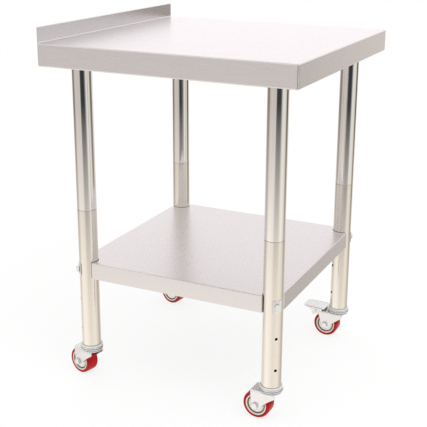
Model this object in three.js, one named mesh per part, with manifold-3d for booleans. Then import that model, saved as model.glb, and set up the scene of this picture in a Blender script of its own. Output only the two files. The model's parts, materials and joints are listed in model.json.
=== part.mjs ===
// Stainless work table on four swivel casters: a folded sheet top with a low backsplash,
// four two-piece round legs, and a folded undershelf bolted between them.
// Millimetres, +Z up. The origin is on the floor, midway between the four legs.
// +X is to the right of someone standing at the front, and +Y is towards the backsplash.

import * as THREE from 'three';
import { mergeVertices } from 'three/addons/utils/BufferGeometryUtils.js';
import Module from 'manifold-3d';

const wasm = await Module();
wasm.setup();

// ---- driving dimensions ----

// gaps between pieces
const FIT_GAP = 0.3; // between pieces that rest on or fit round each other
const RUNNING_GAP = 0.5; // between pieces that turn past each other

// sheet-metal top
const TOP_WIDTH = 600;
const TOP_DEPTH = 600;
const WORK_HEIGHT = 805;
const APRON_DROP = 50;
const TOP_SHEET = 1.2;
const TOP_HEM = 14;
const TOP_CORNER_RADIUS = 4;
const SMALLEST_RADIUS = 1; // of the corners inside it
const BACKSPLASH_RISE = 35;
const BACKSPLASH_THICKNESS = 2.4;

// hat-section stiffeners under the top and the shelf
const CHANNEL_WEB = 56;
const CHANNEL_FLANGE = 12;
const CHANNEL_DEPTH = 18;
const CHANNEL_SHEET = 1.5;
const CHANNEL_END_GAP = 18;

// legs
const LEG_DIAMETER = 45;
const LEG_WALL = 1.2;
const LEG_INSET = 67;
const SPLIT_HEIGHT = 423;
const JOINER_LENGTH = 80;
const JOINER_WALL = 1.5;
const HOLE_DIAMETER = 7;
const FIRST_HOLE_RISE = 43;
const HOLE_PITCH = 75;
const HOLE_COUNT = 3;

// sockets that hold the legs to the channels
const SOCKET_WALL = 2.5;
const SOCKET_DEPTH = 22;
const SOCKET_PLATE = 3;
const SOCKET_SCREW_DIAMETER = 6;
const SOCKET_SCREW_LENGTH = 7;

// undershelf
const LEG_PROUD = 4; // how far each leg stands out past the shelf's sides
const SHELF_APRON = 40;
const SHELF_SHEET = 1.2;
const SHELF_HEM = 10;
const SHELF_NOTCH_GAP = 0.6;

// the bolts that hold the shelf to the legs
const BOLT_DIAMETER = 6;
const BOLT_HEAD_WIDTH = 13;
const BOLT_HEAD_HEIGHT = 4.5;
const BOLT_TAIL = 9; // past the shelf's flange, where the nut goes
const SADDLE_WIDTH = 20;
const SADDLE_HEIGHT = 28;
const SADDLE_THICKNESS = 1.6;

// casters
const WHEEL_DIAMETER = 65;
const TYRE_WIDTH = 32;
const TYRE_THICKNESS = 7.2;
const TYRE_SHOULDER = 4;
const TYRE_SHOULDER_WIDTH = 6.4;
const TRAIL = 29; // from the swivel axis to the axle
const WHEEL_TO_CROWN = 2.6;
const FORK_SHEET = 2.5;
const FORK_SIDE_GAP = 1.5; // between tyre and fork side
const FORK_FRONT = 17.4; // the sides' reach in front of the swivel axis
const FORK_NOSE_DEPTH = 11; // the sides' depth there
const FORK_HOLLOW_AHEAD = 21; // where the sides' front edge bends, ahead of the axle
const FORK_SIDE_BELOW = 6; // the sides' depth below the crown, at its rear
const CROWN_PAST_AXLE = 12; // the crown's reach behind the axle
const CROWN_INSET = 3; // the crown's disc is this much smaller than the race
const AXLE_BOSS_RADIUS = 9.5;
const BOSS_FROM = 216; // degrees round the axle, where the front edge meets the boss
const BOSS_TO = 355; // and where the rear edge leaves it
const AXLE_DIAMETER = 8;
const AXLE_HEAD_WIDTH = 13;
const AXLE_HEAD_HEIGHT = 5;
const AXLE_TAIL = 6.5; // past the far side of the fork, where the nut goes

// wheels
const HUB_BOSS_RADIUS = 9;
const HUB_WEB_INSET = 4; // from the tyre's side to the web between boss and rim
const HUB_RIM_THICKNESS = 2;
const HUB_RIM_SLOPE = 2;
const HUB_RIM_INSET = 0.5; // from the tyre's side to the rim's edge

// swivels and stems
const RACE_RADIUS = 28;
const RACE_HEIGHT = 9.5;
const RACE_CHAMFER_IN = 4;
const RACE_CHAMFER_UP = 3;
const RACE_GROOVE_RISE = 5.9; // from the race's underside to the bottom of its groove
const RACE_GROOVE_DEPTH = 2.5;
const RACE_GROOVE_HALF = 1.5;
const RACE_UPPER_INSET = 1.5; // above the groove the race is this much smaller
const KINGPIN_RADIUS = 5;
const KINGPIN_HEAD_RADIUS = 8;
const KINGPIN_HEAD_HEIGHT = 3.5;
const STEM_RADIUS = 6;
const STEM_LENGTH = 30;
const PLUG_FLANGE_PROUD = 3.5; // past the tube, all round
const PLUG_CHAMFER = 1;
const PLUG_FLANGE_HEIGHT = 3.7;
const PLUG_DEPTH = 24;

// foot brake
const BRAKE_TRAVEL = 15; // degrees, from released to pressed
const BRAKE_PAD_GAP = 0.4; // what the pad leaves to the tyre when pressed
const BRAKE_PAD_ANGLE = 45; // degrees above level, where the pad meets the tyre
const BRAKE_PIVOT_PAST_AXLE = 25;
const BRAKE_EAR_RADIUS = 6;
const BRAKE_PAD_HALF = 4.5; // half the pad's thickness
const PEDAL_SHEET = 1.5;
const PEDAL_PAST_AXLE = 63;
const PEDAL_PLATE_THICKNESS = 2;
const PEDAL_FRONT_GAP = 3; // from the race and the plug's flange to the plate
const PEDAL_CHEEK_NOSE = 7; // from the plate's front edge to the cheeks
const PEDAL_CHEEK_FRONT_DROP = 2; // from the cheeks' front corner down to the pin's height
const PEDAL_LIP_DROP = 13; // from the pin's height down to the cheeks' lowest edge
const PEDAL_LIP_FROM = 4; // where that lowest edge starts and ends, behind the pin
const PEDAL_LIP_TO = 10;
const PEDAL_CHEEK_REAR = 27; // where the cheeks run out under the plate, behind the pin
const PEDAL_TIP_BARE = 6; // of the plate behind the cheeks
const PEDAL_PIN_RADIUS = 2.4;

// how many flat sides stand for each round
const LEG_SIDES = 24;
const INNER_SIDES = 16;
const TYRE_SIDES = 32;
const HUB_SIDES = 18;
const BOLT_SIDES = 8;

// the four corners: which way each lies, how its caster stands (degrees from +X) and if it brakes
const CORNERS = {
  front_left: { side: -1, end: -1, swivel: 87, brake: false },
  front_right: { side: 1, end: -1, swivel: 88, brake: true },
  back_left: { side: -1, end: 1, swivel: 75, brake: false },
  back_right: { side: 1, end: 1, swivel: 80, brake: true },
};

// ---- heights and places that follow from them ----

const LEG_RADIUS = LEG_DIAMETER / 2;
const LEG_X = TOP_WIDTH / 2 - LEG_INSET;
const LEG_Y = TOP_DEPTH / 2 - LEG_INSET;

const WHEEL_RADIUS = WHEEL_DIAMETER / 2;
const AXLE_HEIGHT = WHEEL_RADIUS * Math.cos(Math.PI / TYRE_SIDES); // a flat of the tread is on the floor
const CROWN_BOTTOM = AXLE_HEIGHT + WHEEL_RADIUS + WHEEL_TO_CROWN;
const CROWN_TOP = CROWN_BOTTOM + FORK_SHEET;
const RACE_BOTTOM = CROWN_TOP + RUNNING_GAP;
const RACE_TOP = RACE_BOTTOM + RACE_HEIGHT;
const FLANGE_BOTTOM = RACE_TOP + FIT_GAP;
const LEG_BOTTOM = FLANGE_BOTTOM + PLUG_FLANGE_HEIGHT + FIT_GAP;

const FIRST_HOLE = LEG_BOTTOM + FIRST_HOLE_RISE;
const HOLE_HEIGHTS = Array.from({ length: HOLE_COUNT }, (_, i) => FIRST_HOLE + i * HOLE_PITCH);
const BOLT_HEIGHT = HOLE_HEIGHTS[HOLE_COUNT - 1];
const SHELF_TOP = BOLT_HEIGHT + SHELF_APRON / 2;
const SHELF_OVERHANG = LEG_RADIUS - LEG_PROUD; // past the leg axes, on each side
const SHELF_HALF_X = LEG_X + SHELF_OVERHANG;
const SHELF_HALF_Y = LEG_Y + SHELF_OVERHANG;
const NOTCH_RADIUS = LEG_RADIUS + SHELF_NOTCH_GAP;

const CHANNEL_TOP = WORK_HEIGHT - TOP_SHEET - FIT_GAP;
const SOCKET_TOP = CHANNEL_TOP - CHANNEL_DEPTH - FIT_GAP;
const SOCKET_BOTTOM = SOCKET_TOP - SOCKET_PLATE - SOCKET_DEPTH;
const LEG_TOP = SOCKET_TOP - SOCKET_PLATE - FIT_GAP;

const PLUG_FLANGE_RADIUS = LEG_RADIUS + PLUG_FLANGE_PROUD;
const FORK_INNER = TYRE_WIDTH / 2 + FORK_SIDE_GAP;
const FORK_OUTER = FORK_INNER + FORK_SHEET;
const CROWN_REAR = TRAIL + CROWN_PAST_AXLE;
const PIVOT_ALONG = TRAIL + BRAKE_PIVOT_PAST_AXLE;
const PIVOT_HEIGHT = CROWN_BOTTOM + FORK_SHEET / 2;

// ---- solids ----

/** A closed geometry as a manifold solid, with its shared vertices merged. */
function solid(geometry) {
  const bare = geometry.clone();
  bare.deleteAttribute('normal');
  bare.deleteAttribute('uv');
  const merged = mergeVertices(bare, 1e-4);
  const corners = merged.index.array;
  const kept = [];
  for (let i = 0; i < corners.length; i += 3) {
    const [a, b, c] = corners.slice(i, i + 3);
    if (a !== b && b !== c && c !== a) kept.push(a, b, c);
  }
  const vertProperties = Float32Array.from(merged.attributes.position.array);
  const triVerts = Uint32Array.from(kept);
  return new wasm.Manifold(new wasm.Mesh({ numProp: 3, vertProperties, triVerts }));
}

/** A manifold solid as a geometry. */
function toGeometry(body) {
  const mesh = body.getMesh();
  const geometry = new THREE.BufferGeometry();
  geometry.setAttribute('position', new THREE.BufferAttribute(new Float32Array(mesh.vertProperties), 3));
  geometry.setIndex(new THREE.BufferAttribute(new Uint32Array(mesh.triVerts), 1));
  geometry.computeVertexNormals();
  return geometry;
}

/** A box between two corners. */
function box(low, high) {
  const size = high.map((value, i) => value - low[i]);
  const middle = high.map((value, i) => (value + low[i]) / 2);
  return solid(new THREE.BoxGeometry(...size).translate(...middle));
}

/** A turned geometry about the Y axis, from [radius, along Y] points. They close or end on the axis. */
function turnedAboutY(points, sides) {
  const profile = points.map(([radius, along]) => new THREE.Vector2(radius, along));
  return new THREE.LatheGeometry(profile, sides).rotateY(Math.PI / sides);
}

/** The same about the Z axis, from [radius, height] points. */
function turned(points, sides) {
  return solid(turnedAboutY(points, sides).rotateX(Math.PI / 2));
}

/** A ring or tube about the Z axis. */
function tube(outer, inner, bottom, top, sides) {
  const ring = [[inner, bottom], [outer, bottom], [outer, top], [inner, top], [inner, bottom]];
  return turned(ring, sides);
}

/** A round bar about the Z axis. */
function bar(radius, bottom, top, sides) {
  return turned([[0, bottom], [radius, bottom], [radius, top], [0, top]], sides);
}

/** A bolt's six-sided head about the Y axis, from its width across the flats. */
function hexagon(acrossFlats, height) {
  const radius = acrossFlats / Math.sqrt(3);
  return solid(new THREE.CylinderGeometry(radius, radius, height, 6));
}

/** An outline drawn in X and Y, raised from bottom to top. */
function raised(shape, bottom, top, curveSegments = 3) {
  const depth = top - bottom;
  const geometry = new THREE.ExtrudeGeometry(shape, { depth, bevelEnabled: false, curveSegments });
  return solid(geometry.translate(0, 0, bottom));
}

/** An outline drawn as X along and Y up, given a thickness between two places on the Y axis. */
function upright(shape, from, to, curveSegments = 3) {
  const depth = to - from;
  const geometry = new THREE.ExtrudeGeometry(shape, { depth, bevelEnabled: false, curveSegments });
  return solid(geometry.rotateX(Math.PI / 2).translate(0, to, 0));
}

/** A body laid along the leg's diagonal: its Z axis becomes level and points out from the table's middle. */
function alongDiagonal(body, corner, height) {
  const { side, end } = CORNERS[corner];
  const heading = (Math.atan2(end, side) * 180) / Math.PI;
  return body.rotate([0, 90, 0]).rotate([0, 0, heading]).translate([side * LEG_X, end * LEG_Y, height]);
}

const table = new THREE.Group();
table.name = 'work_table';

/** Adds one piece: a named mesh with a material of its own. */
function addPiece(name, body, finish, parent = table) {
  const material = new THREE.MeshStandardMaterial(finish);
  const mesh = new THREE.Mesh(toGeometry(body), material);
  mesh.name = name;
  parent.add(mesh);
  return mesh;
}

const BRUSHED = { color: 0xd9d6d8, roughness: 0.34, metalness: 0.9 };
const POLISHED = { color: 0xd6d2cb, roughness: 0.12, metalness: 1.0 };
const SATIN_TUBE = { color: 0xd8d4c8, roughness: 0.3, metalness: 0.9 };
const GALVANISED = { color: 0xb9bcbd, roughness: 0.45, metalness: 0.8 };
const ZINC = { color: 0xc9cccd, roughness: 0.25, metalness: 0.95 };
const PLUG_PLASTIC = { color: 0xa4a6a4, roughness: 0.5, metalness: 0.0 };
const HUB_PLASTIC = { color: 0xd4d4cf, roughness: 0.45, metalness: 0.0 };
const RED_TYRE = { color: 0xc01f2c, roughness: 0.22, metalness: 0.0 };

// ---- worktop: one folded sheet with hemmed aprons and a doubled backsplash ----

/** A rectangle about the middle, with rounded corners. */
function roundedRectangle(halfX, halfY, radius) {
  const shape = new THREE.Shape();
  shape.absarc(halfX - radius, halfY - radius, radius, 0, Math.PI / 2);
  shape.absarc(radius - halfX, halfY - radius, radius, Math.PI / 2, Math.PI);
  shape.absarc(radius - halfX, radius - halfY, radius, Math.PI, Math.PI * 1.5);
  shape.absarc(halfX - radius, radius - halfY, radius, Math.PI * 1.5, Math.PI * 2);
  shape.closePath();
  return shape;
}

function worktop() {
  const halfX = TOP_WIDTH / 2;
  const halfY = TOP_DEPTH / 2;
  const bottom = WORK_HEIGHT - APRON_DROP;
  const cornerRadius = (inset) => Math.max(SMALLEST_RADIUS, TOP_CORNER_RADIUS - inset);
  const within = (inset) => roundedRectangle(halfX - inset, halfY - inset, cornerRadius(inset));
  const backsplashTop = WORK_HEIGHT + BACKSPLASH_RISE;
  const backsplash = box(
    [-halfX, halfY - BACKSPLASH_THICKNESS, WORK_HEIGHT - TOP_SHEET],
    [halfX, halfY, backsplashTop],
  );
  return raised(within(0), bottom, WORK_HEIGHT)
    .subtract(raised(within(TOP_SHEET), bottom + TOP_SHEET, WORK_HEIGHT - TOP_SHEET))
    .subtract(raised(within(TOP_HEM), bottom - 1, bottom + TOP_SHEET + 1))
    .add(backsplash);
}

addPiece('worktop', worktop(), BRUSHED);

// ---- hat-section channels ----

/** The hat's section, drawn across and up, with the tops of its flanges at the given height. */
function hatSection(top) {
  const web = CHANNEL_WEB / 2;
  const brim = web + CHANNEL_FLANGE;
  const bottom = top - CHANNEL_DEPTH;
  const sheet = CHANNEL_SHEET;
  const points = [
    [-brim, top], [-brim, top - sheet], [-web, top - sheet], [-web, bottom],
    [web, bottom], [web, top - sheet], [brim, top - sheet], [brim, top],
    [web - sheet, top], [web - sheet, bottom + sheet], [sheet - web, bottom + sheet], [sheet - web, top],
  ];
  return new THREE.Shape(points.map(([across, up]) => new THREE.Vector2(across, up)));
}

for (const [name, side] of [['top_channel_left', -1], ['top_channel_right', 1]]) {
  const reach = TOP_DEPTH / 2 - CHANNEL_END_GAP;
  addPiece(name, upright(hatSection(CHANNEL_TOP), -reach, reach).translate([side * LEG_X, 0, 0]), GALVANISED);
}

// ---- undershelf: an upturned tray whose corners are notched round the legs ----

/** The shelf's outline, moved in by an inset, with a round notch at each leg. */
function shelfOutline(inset) {
  const halfX = SHELF_HALF_X - inset;
  const halfY = SHELF_HALF_Y - inset;
  const notch = NOTCH_RADIUS + inset;
  const reach = SHELF_OVERHANG - inset;
  const turn = Math.asin(reach / notch);
  const shape = new THREE.Shape();
  // each notch is an arc about its leg axis, run clockwise from one side of the tray to the next
  const quarter = Math.PI / 2;
  const legs = [[1, 1], [-1, 1], [-1, -1], [1, -1]];
  legs.forEach(([side, end], i) => {
    const middle = i * quarter + quarter * 2.5;
    const half = quarter / 2 + turn;
    shape.absarc(side * LEG_X, end * LEG_Y, notch, middle + half, middle - half, true);
  });
  shape.closePath();
  return shape;
}

function shelf() {
  const bottom = SHELF_TOP - SHELF_APRON;
  let tray = raised(shelfOutline(0), bottom, SHELF_TOP, 6)
    .subtract(raised(shelfOutline(SHELF_SHEET), bottom + SHELF_SHEET, SHELF_TOP - SHELF_SHEET, 6))
    .subtract(raised(shelfOutline(SHELF_HEM), bottom - 1, bottom + SHELF_SHEET + 1, 6));
  for (const corner of Object.keys(CORNERS)) {
    const drill = bar(HOLE_DIAMETER / 2, -LEG_DIAMETER, 0, BOLT_SIDES);
    tray = tray.subtract(alongDiagonal(drill, corner, BOLT_HEIGHT));
  }
  return tray;
}

addPiece('shelf', shelf(), BRUSHED);

const shelfReach = SHELF_HALF_Y - CHANNEL_END_GAP;
const shelfChannelTop = SHELF_TOP - SHELF_SHEET - FIT_GAP;
addPiece('shelf_channel', upright(hatSection(shelfChannelTop), -shelfReach, shelfReach), GALVANISED);

// ---- legs, their sockets, joiners and screws, and the shelf's bolts ----

/** The flanged cup that a leg's top pushes into. Its set screw faces the table's middle. */
function legSocket(corner) {
  const inner = LEG_RADIUS + FIT_GAP;
  const outer = inner + SOCKET_WALL;
  const underPlate = SOCKET_TOP - SOCKET_PLATE;
  const half = CHANNEL_WEB / 2;
  const { side, end } = CORNERS[corner];
  const threaded = bar(SOCKET_SCREW_DIAMETER / 2 + FIT_GAP, -outer - 2, 0, BOLT_SIDES);
  return box([-half, -half, underPlate], [half, half, SOCKET_TOP])
    .add(tube(outer, inner, SOCKET_BOTTOM, underPlate + 1, LEG_SIDES))
    .translate([side * LEG_X, end * LEG_Y, 0])
    .subtract(alongDiagonal(threaded, corner, SOCKET_BOTTOM + SOCKET_DEPTH / 2));
}

function socketScrew(corner) {
  const tip = LEG_RADIUS + FIT_GAP;
  const screw = bar(SOCKET_SCREW_DIAMETER / 2, -tip - SOCKET_SCREW_LENGTH, -tip, BOLT_SIDES);
  return alongDiagonal(screw, corner, SOCKET_BOTTOM + SOCKET_DEPTH / 2);
}

function upperLeg() {
  return tube(LEG_RADIUS, LEG_RADIUS - LEG_WALL, SPLIT_HEIGHT + FIT_GAP / 2, LEG_TOP, LEG_SIDES);
}

/** The sleeve inside the leg that the upper and lower tubes both push onto. */
function legJoiner() {
  const outer = LEG_RADIUS - LEG_WALL - RUNNING_GAP;
  const half = JOINER_LENGTH / 2;
  return tube(outer, outer - JOINER_WALL, SPLIT_HEIGHT - half, SPLIT_HEIGHT + half, INNER_SIDES);
}

/** The lower tube, drilled right through at each height that the shelf can be bolted at. */
function lowerLeg(corner) {
  const { side, end } = CORNERS[corner];
  let leg = tube(LEG_RADIUS, LEG_RADIUS - LEG_WALL, LEG_BOTTOM, SPLIT_HEIGHT - FIT_GAP / 2, LEG_SIDES)
    .translate([side * LEG_X, end * LEG_Y, 0]);
  for (const height of HOLE_HEIGHTS) {
    const drill = bar(HOLE_DIAMETER / 2, -LEG_DIAMETER, LEG_DIAMETER, BOLT_SIDES);
    leg = leg.subtract(alongDiagonal(drill, corner, height));
  }
  return leg;
}

/** A curved washer that beds the bolt's head on the round leg: a slice of a tube wall. */
function saddleWasher(corner) {
  const inner = LEG_RADIUS + FIT_GAP;
  const wall = tube(inner + SADDLE_THICKNESS, inner, -SADDLE_HEIGHT / 2, SADDLE_HEIGHT / 2, LEG_SIDES * 2);
  const across = SADDLE_WIDTH / 2;
  const keep = box([LEG_RADIUS / 2, -across, -SADDLE_HEIGHT], [LEG_DIAMETER, across, SADDLE_HEIGHT]);
  const { side, end } = CORNERS[corner];
  const heading = (Math.atan2(end, side) * 180) / Math.PI;
  const drill = bar(HOLE_DIAMETER / 2, 0, LEG_DIAMETER, BOLT_SIDES);
  return wall
    .intersect(keep)
    .rotate([0, 0, heading])
    .translate([side * LEG_X, end * LEG_Y, BOLT_HEIGHT])
    .subtract(alongDiagonal(drill, corner, BOLT_HEIGHT));
}

function shelfBolt(corner) {
  const seat = LEG_RADIUS + SADDLE_THICKNESS + FIT_GAP * 2;
  const tail = NOTCH_RADIUS + SHELF_SHEET + BOLT_TAIL;
  const head = hexagon(BOLT_HEAD_WIDTH, BOLT_HEAD_HEIGHT).rotate([90, 0, 0]);
  const bolt = bar(BOLT_DIAMETER / 2, -tail, seat + BOLT_HEAD_HEIGHT / 2, BOLT_SIDES)
    .add(head.translate([0, 0, seat + BOLT_HEAD_HEIGHT / 2]));
  return alongDiagonal(bolt, corner, BOLT_HEIGHT);
}

for (const [corner, { side, end }] of Object.entries(CORNERS)) {
  const atLeg = (body) => body.translate([side * LEG_X, end * LEG_Y, 0]);
  addPiece(`leg_socket_${corner}`, legSocket(corner), GALVANISED);
  addPiece(`socket_screw_${corner}`, socketScrew(corner), ZINC);
  addPiece(`upper_leg_${corner}`, atLeg(upperLeg()), POLISHED);
  addPiece(`leg_joiner_${corner}`, atLeg(legJoiner()), GALVANISED);
  addPiece(`lower_leg_${corner}`, lowerLeg(corner), SATIN_TUBE);
  addPiece(`saddle_washer_${corner}`, saddleWasher(corner), ZINC);
  addPiece(`shelf_bolt_${corner}`, shelfBolt(corner), ZINC);
}

// ---- casters: drawn with the swivel axis on Z and the wheel trailing along +X ----

/** The plastic plug in the leg's end: a flange under the tube, and a sleeve up inside it. */
function legPlug() {
  const flangeTop = LEG_BOTTOM - FIT_GAP;
  const sleeve = LEG_RADIUS - LEG_WALL - RUNNING_GAP;
  const bore = STEM_RADIUS + FIT_GAP;
  const lip = PLUG_FLANGE_RADIUS - PLUG_CHAMFER;
  const profile = [
    [bore, FLANGE_BOTTOM], [PLUG_FLANGE_RADIUS, FLANGE_BOTTOM],
    [PLUG_FLANGE_RADIUS, flangeTop - PLUG_CHAMFER], [lip, flangeTop],
    [sleeve, flangeTop], [sleeve, flangeTop + PLUG_DEPTH],
    [bore, flangeTop + PLUG_DEPTH], [bore, FLANGE_BOTTOM],
  ];
  return turned(profile, INNER_SIDES);
}

/** The stem, the grooved ball race under it, and the kingpin that the fork hangs on. */
function casterStem() {
  const groove = RACE_BOTTOM + RACE_GROOVE_RISE;
  const upper = RACE_RADIUS - RACE_UPPER_INSET;
  const headTop = CROWN_BOTTOM - RUNNING_GAP;
  const headBottom = headTop - KINGPIN_HEAD_HEIGHT;
  const profile = [
    [0, headBottom], [KINGPIN_HEAD_RADIUS, headBottom],
    [KINGPIN_HEAD_RADIUS, headTop], [KINGPIN_RADIUS, headTop],
    [KINGPIN_RADIUS, RACE_BOTTOM], [RACE_RADIUS - RACE_CHAMFER_IN, RACE_BOTTOM],
    [RACE_RADIUS, RACE_BOTTOM + RACE_CHAMFER_UP], [RACE_RADIUS, groove - RACE_GROOVE_HALF],
    [RACE_RADIUS - RACE_GROOVE_DEPTH, groove], [upper, groove + RACE_GROOVE_HALF],
    [upper, RACE_TOP], [STEM_RADIUS, RACE_TOP],
    [STEM_RADIUS, RACE_TOP + STEM_LENGTH], [0, RACE_TOP + STEM_LENGTH],
  ];
  return turned(profile, INNER_SIDES);
}

/** The side of the fork: wide at the crown, and tapered to a round boss at the axle. */
function forkSide(brake) {
  const boss = AXLE_BOSS_RADIUS;
  const from = THREE.MathUtils.degToRad(BOSS_FROM);
  const to = THREE.MathUtils.degToRad(BOSS_TO);
  const onBoss = [TRAIL + boss * Math.cos(from), AXLE_HEIGHT + boss * Math.sin(from)];
  const rear = brake ? PIVOT_ALONG - BRAKE_EAR_RADIUS : CROWN_REAR;
  const shape = new THREE.Shape();
  shape.moveTo(-FORK_FRONT, CROWN_TOP);
  shape.lineTo(-FORK_FRONT, CROWN_TOP - FORK_NOSE_DEPTH);
  // the front edge sweeps in a hollow curve to the boss
  shape.quadraticCurveTo(TRAIL - FORK_HOLLOW_AHEAD, AXLE_HEIGHT + boss, ...onBoss);
  shape.absarc(TRAIL, AXLE_HEIGHT, boss, from, to);
  shape.lineTo(rear, CROWN_BOTTOM - FORK_SIDE_BELOW);
  if (brake) {
    // an ear behind the crown carries the pedal's pin
    shape.absarc(PIVOT_ALONG, PIVOT_HEIGHT, BRAKE_EAR_RADIUS, -Math.PI / 2, Math.PI / 2);
    shape.lineTo(rear, PIVOT_HEIGHT + BRAKE_EAR_RADIUS);
    shape.lineTo(CROWN_REAR, CROWN_TOP);
  } else {
    shape.lineTo(rear, CROWN_TOP);
  }
  shape.closePath();
  return shape;
}

function casterFork(brake) {
  const crownDisc = bar(RACE_RADIUS - CROWN_INSET, CROWN_BOTTOM, CROWN_TOP, INNER_SIDES);
  let fork = box([0, -FORK_OUTER, CROWN_BOTTOM], [CROWN_REAR, FORK_OUTER, CROWN_TOP])
    .add(crownDisc)
    .subtract(bar(KINGPIN_RADIUS + RUNNING_GAP, 0, CROWN_TOP + 1, INNER_SIDES))
    .add(upright(forkSide(brake), FORK_INNER, FORK_OUTER, 4))
    .add(upright(forkSide(brake), -FORK_OUTER, -FORK_INNER, 4));
  const bore = (radius) => bar(radius, -FORK_OUTER - 1, FORK_OUTER + 1, BOLT_SIDES).rotate([90, 0, 0]);
  fork = fork.subtract(bore(AXLE_DIAMETER / 2 + FIT_GAP).translate([TRAIL, 0, AXLE_HEIGHT]));
  if (brake) {
    fork = fork.subtract(bore(PEDAL_PIN_RADIUS + RUNNING_GAP).translate([PIVOT_ALONG, 0, PIVOT_HEIGHT]));
  }
  return fork;
}

/** The axle bolt, with its head on the near side of the fork. */
function axle() {
  const seat = FORK_OUTER + FIT_GAP;
  const head = hexagon(AXLE_HEAD_WIDTH, AXLE_HEAD_HEIGHT);
  return bar(AXLE_DIAMETER / 2, -seat - 1, seat + AXLE_TAIL, BOLT_SIDES)
    .rotate([90, 0, 0])
    .add(head.translate([0, seat + AXLE_HEAD_HEIGHT / 2, 0]))
    .translate([TRAIL, 0, AXLE_HEIGHT]);
}

/** The wheel's spool: bearing boss, dished web and rim. */
function wheelHub() {
  const bore = AXLE_DIAMETER / 2 + FIT_GAP;
  // the tyre's bore has more sides than the rim, so the rim keeps clear of its flats
  const rim = (WHEEL_RADIUS - TYRE_THICKNESS) * Math.cos(Math.PI / TYRE_SIDES) - FIT_GAP;
  const rimInner = rim - HUB_RIM_THICKNESS;
  const bossEnd = FORK_INNER - RUNNING_GAP;
  const rimEnd = TYRE_WIDTH / 2 - HUB_RIM_INSET;
  const web = TYRE_WIDTH / 2 - HUB_WEB_INSET;
  const half = [
    [bore, bossEnd], [HUB_BOSS_RADIUS, bossEnd], [HUB_BOSS_RADIUS, web],
    [rimInner - HUB_RIM_SLOPE, web], [rimInner, rimEnd], [rim, rimEnd],
  ];
  const mirrored = half.map(([radius, along]) => [radius, -along]);
  const profile = [...mirrored, ...half.toReversed(), mirrored[0]];
  return solid(turnedAboutY(profile, HUB_SIDES)).translate([TRAIL, 0, AXLE_HEIGHT]);
}

/** The moulded tyre: a flat tread whose shoulders curve in to its sides. */
function tyre() {
  const inner = WHEEL_RADIUS - TYRE_THICKNESS;
  const edge = TYRE_WIDTH / 2;
  const side = [[inner, edge - HUB_RIM_INSET], [WHEEL_RADIUS - TYRE_SHOULDER, edge]];
  const shoulder = [0.25, 0.7].map((share) => [
    WHEEL_RADIUS - TYRE_SHOULDER * (1 - share) ** 2,
    edge - TYRE_SHOULDER_WIDTH * share ** 2,
  ]);
  const half = [...side, ...shoulder, [WHEEL_RADIUS, edge - TYRE_SHOULDER_WIDTH]];
  const mirrored = half.map(([radius, along]) => [radius, -along]);
  const profile = [...mirrored, ...half.toReversed(), mirrored[0]];
  return solid(turnedAboutY(profile, TYRE_SIDES)).translate([TRAIL, 0, AXLE_HEIGHT]);
}

/** A point of the pedal as it is when released, from where it is when fully pressed. */
function whenReleased(along, height) {
  const back = THREE.MathUtils.degToRad(BRAKE_TRAVEL);
  const x = along - PIVOT_ALONG;
  const z = height - PIVOT_HEIGHT;
  return [
    PIVOT_ALONG + x * Math.cos(back) - z * Math.sin(back),
    PIVOT_HEIGHT + x * Math.sin(back) + z * Math.cos(back),
  ];
}

/** The pedal's side cheek, from under the plate's front edge down past the pin and back up. */
function pedalCheek(front, plateBottom, plateTop) {
  const nose = front + PEDAL_CHEEK_NOSE;
  const low = PIVOT_HEIGHT - PEDAL_LIP_DROP;
  const rear = PIVOT_ALONG + PEDAL_CHEEK_REAR;
  const shape = new THREE.Shape();
  shape.moveTo(nose, plateTop);
  shape.lineTo(nose, PIVOT_HEIGHT + PEDAL_CHEEK_FRONT_DROP);
  shape.quadraticCurveTo(PIVOT_ALONG, PIVOT_HEIGHT - BRAKE_EAR_RADIUS, PIVOT_ALONG + PEDAL_LIP_FROM, low);
  shape.lineTo(PIVOT_ALONG + PEDAL_LIP_TO, low);
  shape.quadraticCurveTo(PIVOT_ALONG + PEDAL_LIP_TO, PIVOT_HEIGHT, rear, plateBottom);
  shape.lineTo(TRAIL + PEDAL_PAST_AXLE - PEDAL_TIP_BARE, plateTop);
  shape.closePath();
  return shape;
}

/** The pad under the plate, whose tip bears on the tyre when the pedal is down. */
function brakePad(plateBottom) {
  const angle = THREE.MathUtils.degToRad(BRAKE_PAD_ANGLE);
  const reach = WHEEL_RADIUS + BRAKE_PAD_GAP;
  const pressed = [TRAIL + reach * Math.cos(angle), AXLE_HEIGHT + reach * Math.sin(angle)];
  const [tipAlong, tipHeight] = whenReleased(...pressed);
  const front = PIVOT_ALONG - BRAKE_PAD_HALF;
  const rear = tipAlong + BRAKE_PAD_HALF;
  const inPlate = plateBottom + PEDAL_PLATE_THICKNESS / 2;
  return new THREE.Shape([
    new THREE.Vector2(front, inPlate),
    new THREE.Vector2(front, PIVOT_HEIGHT - BRAKE_PAD_HALF),
    new THREE.Vector2(tipAlong, tipHeight),
    new THREE.Vector2(rear, tipHeight + BRAKE_PAD_HALF),
    new THREE.Vector2(rear, inPlate),
  ]);
}

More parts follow.
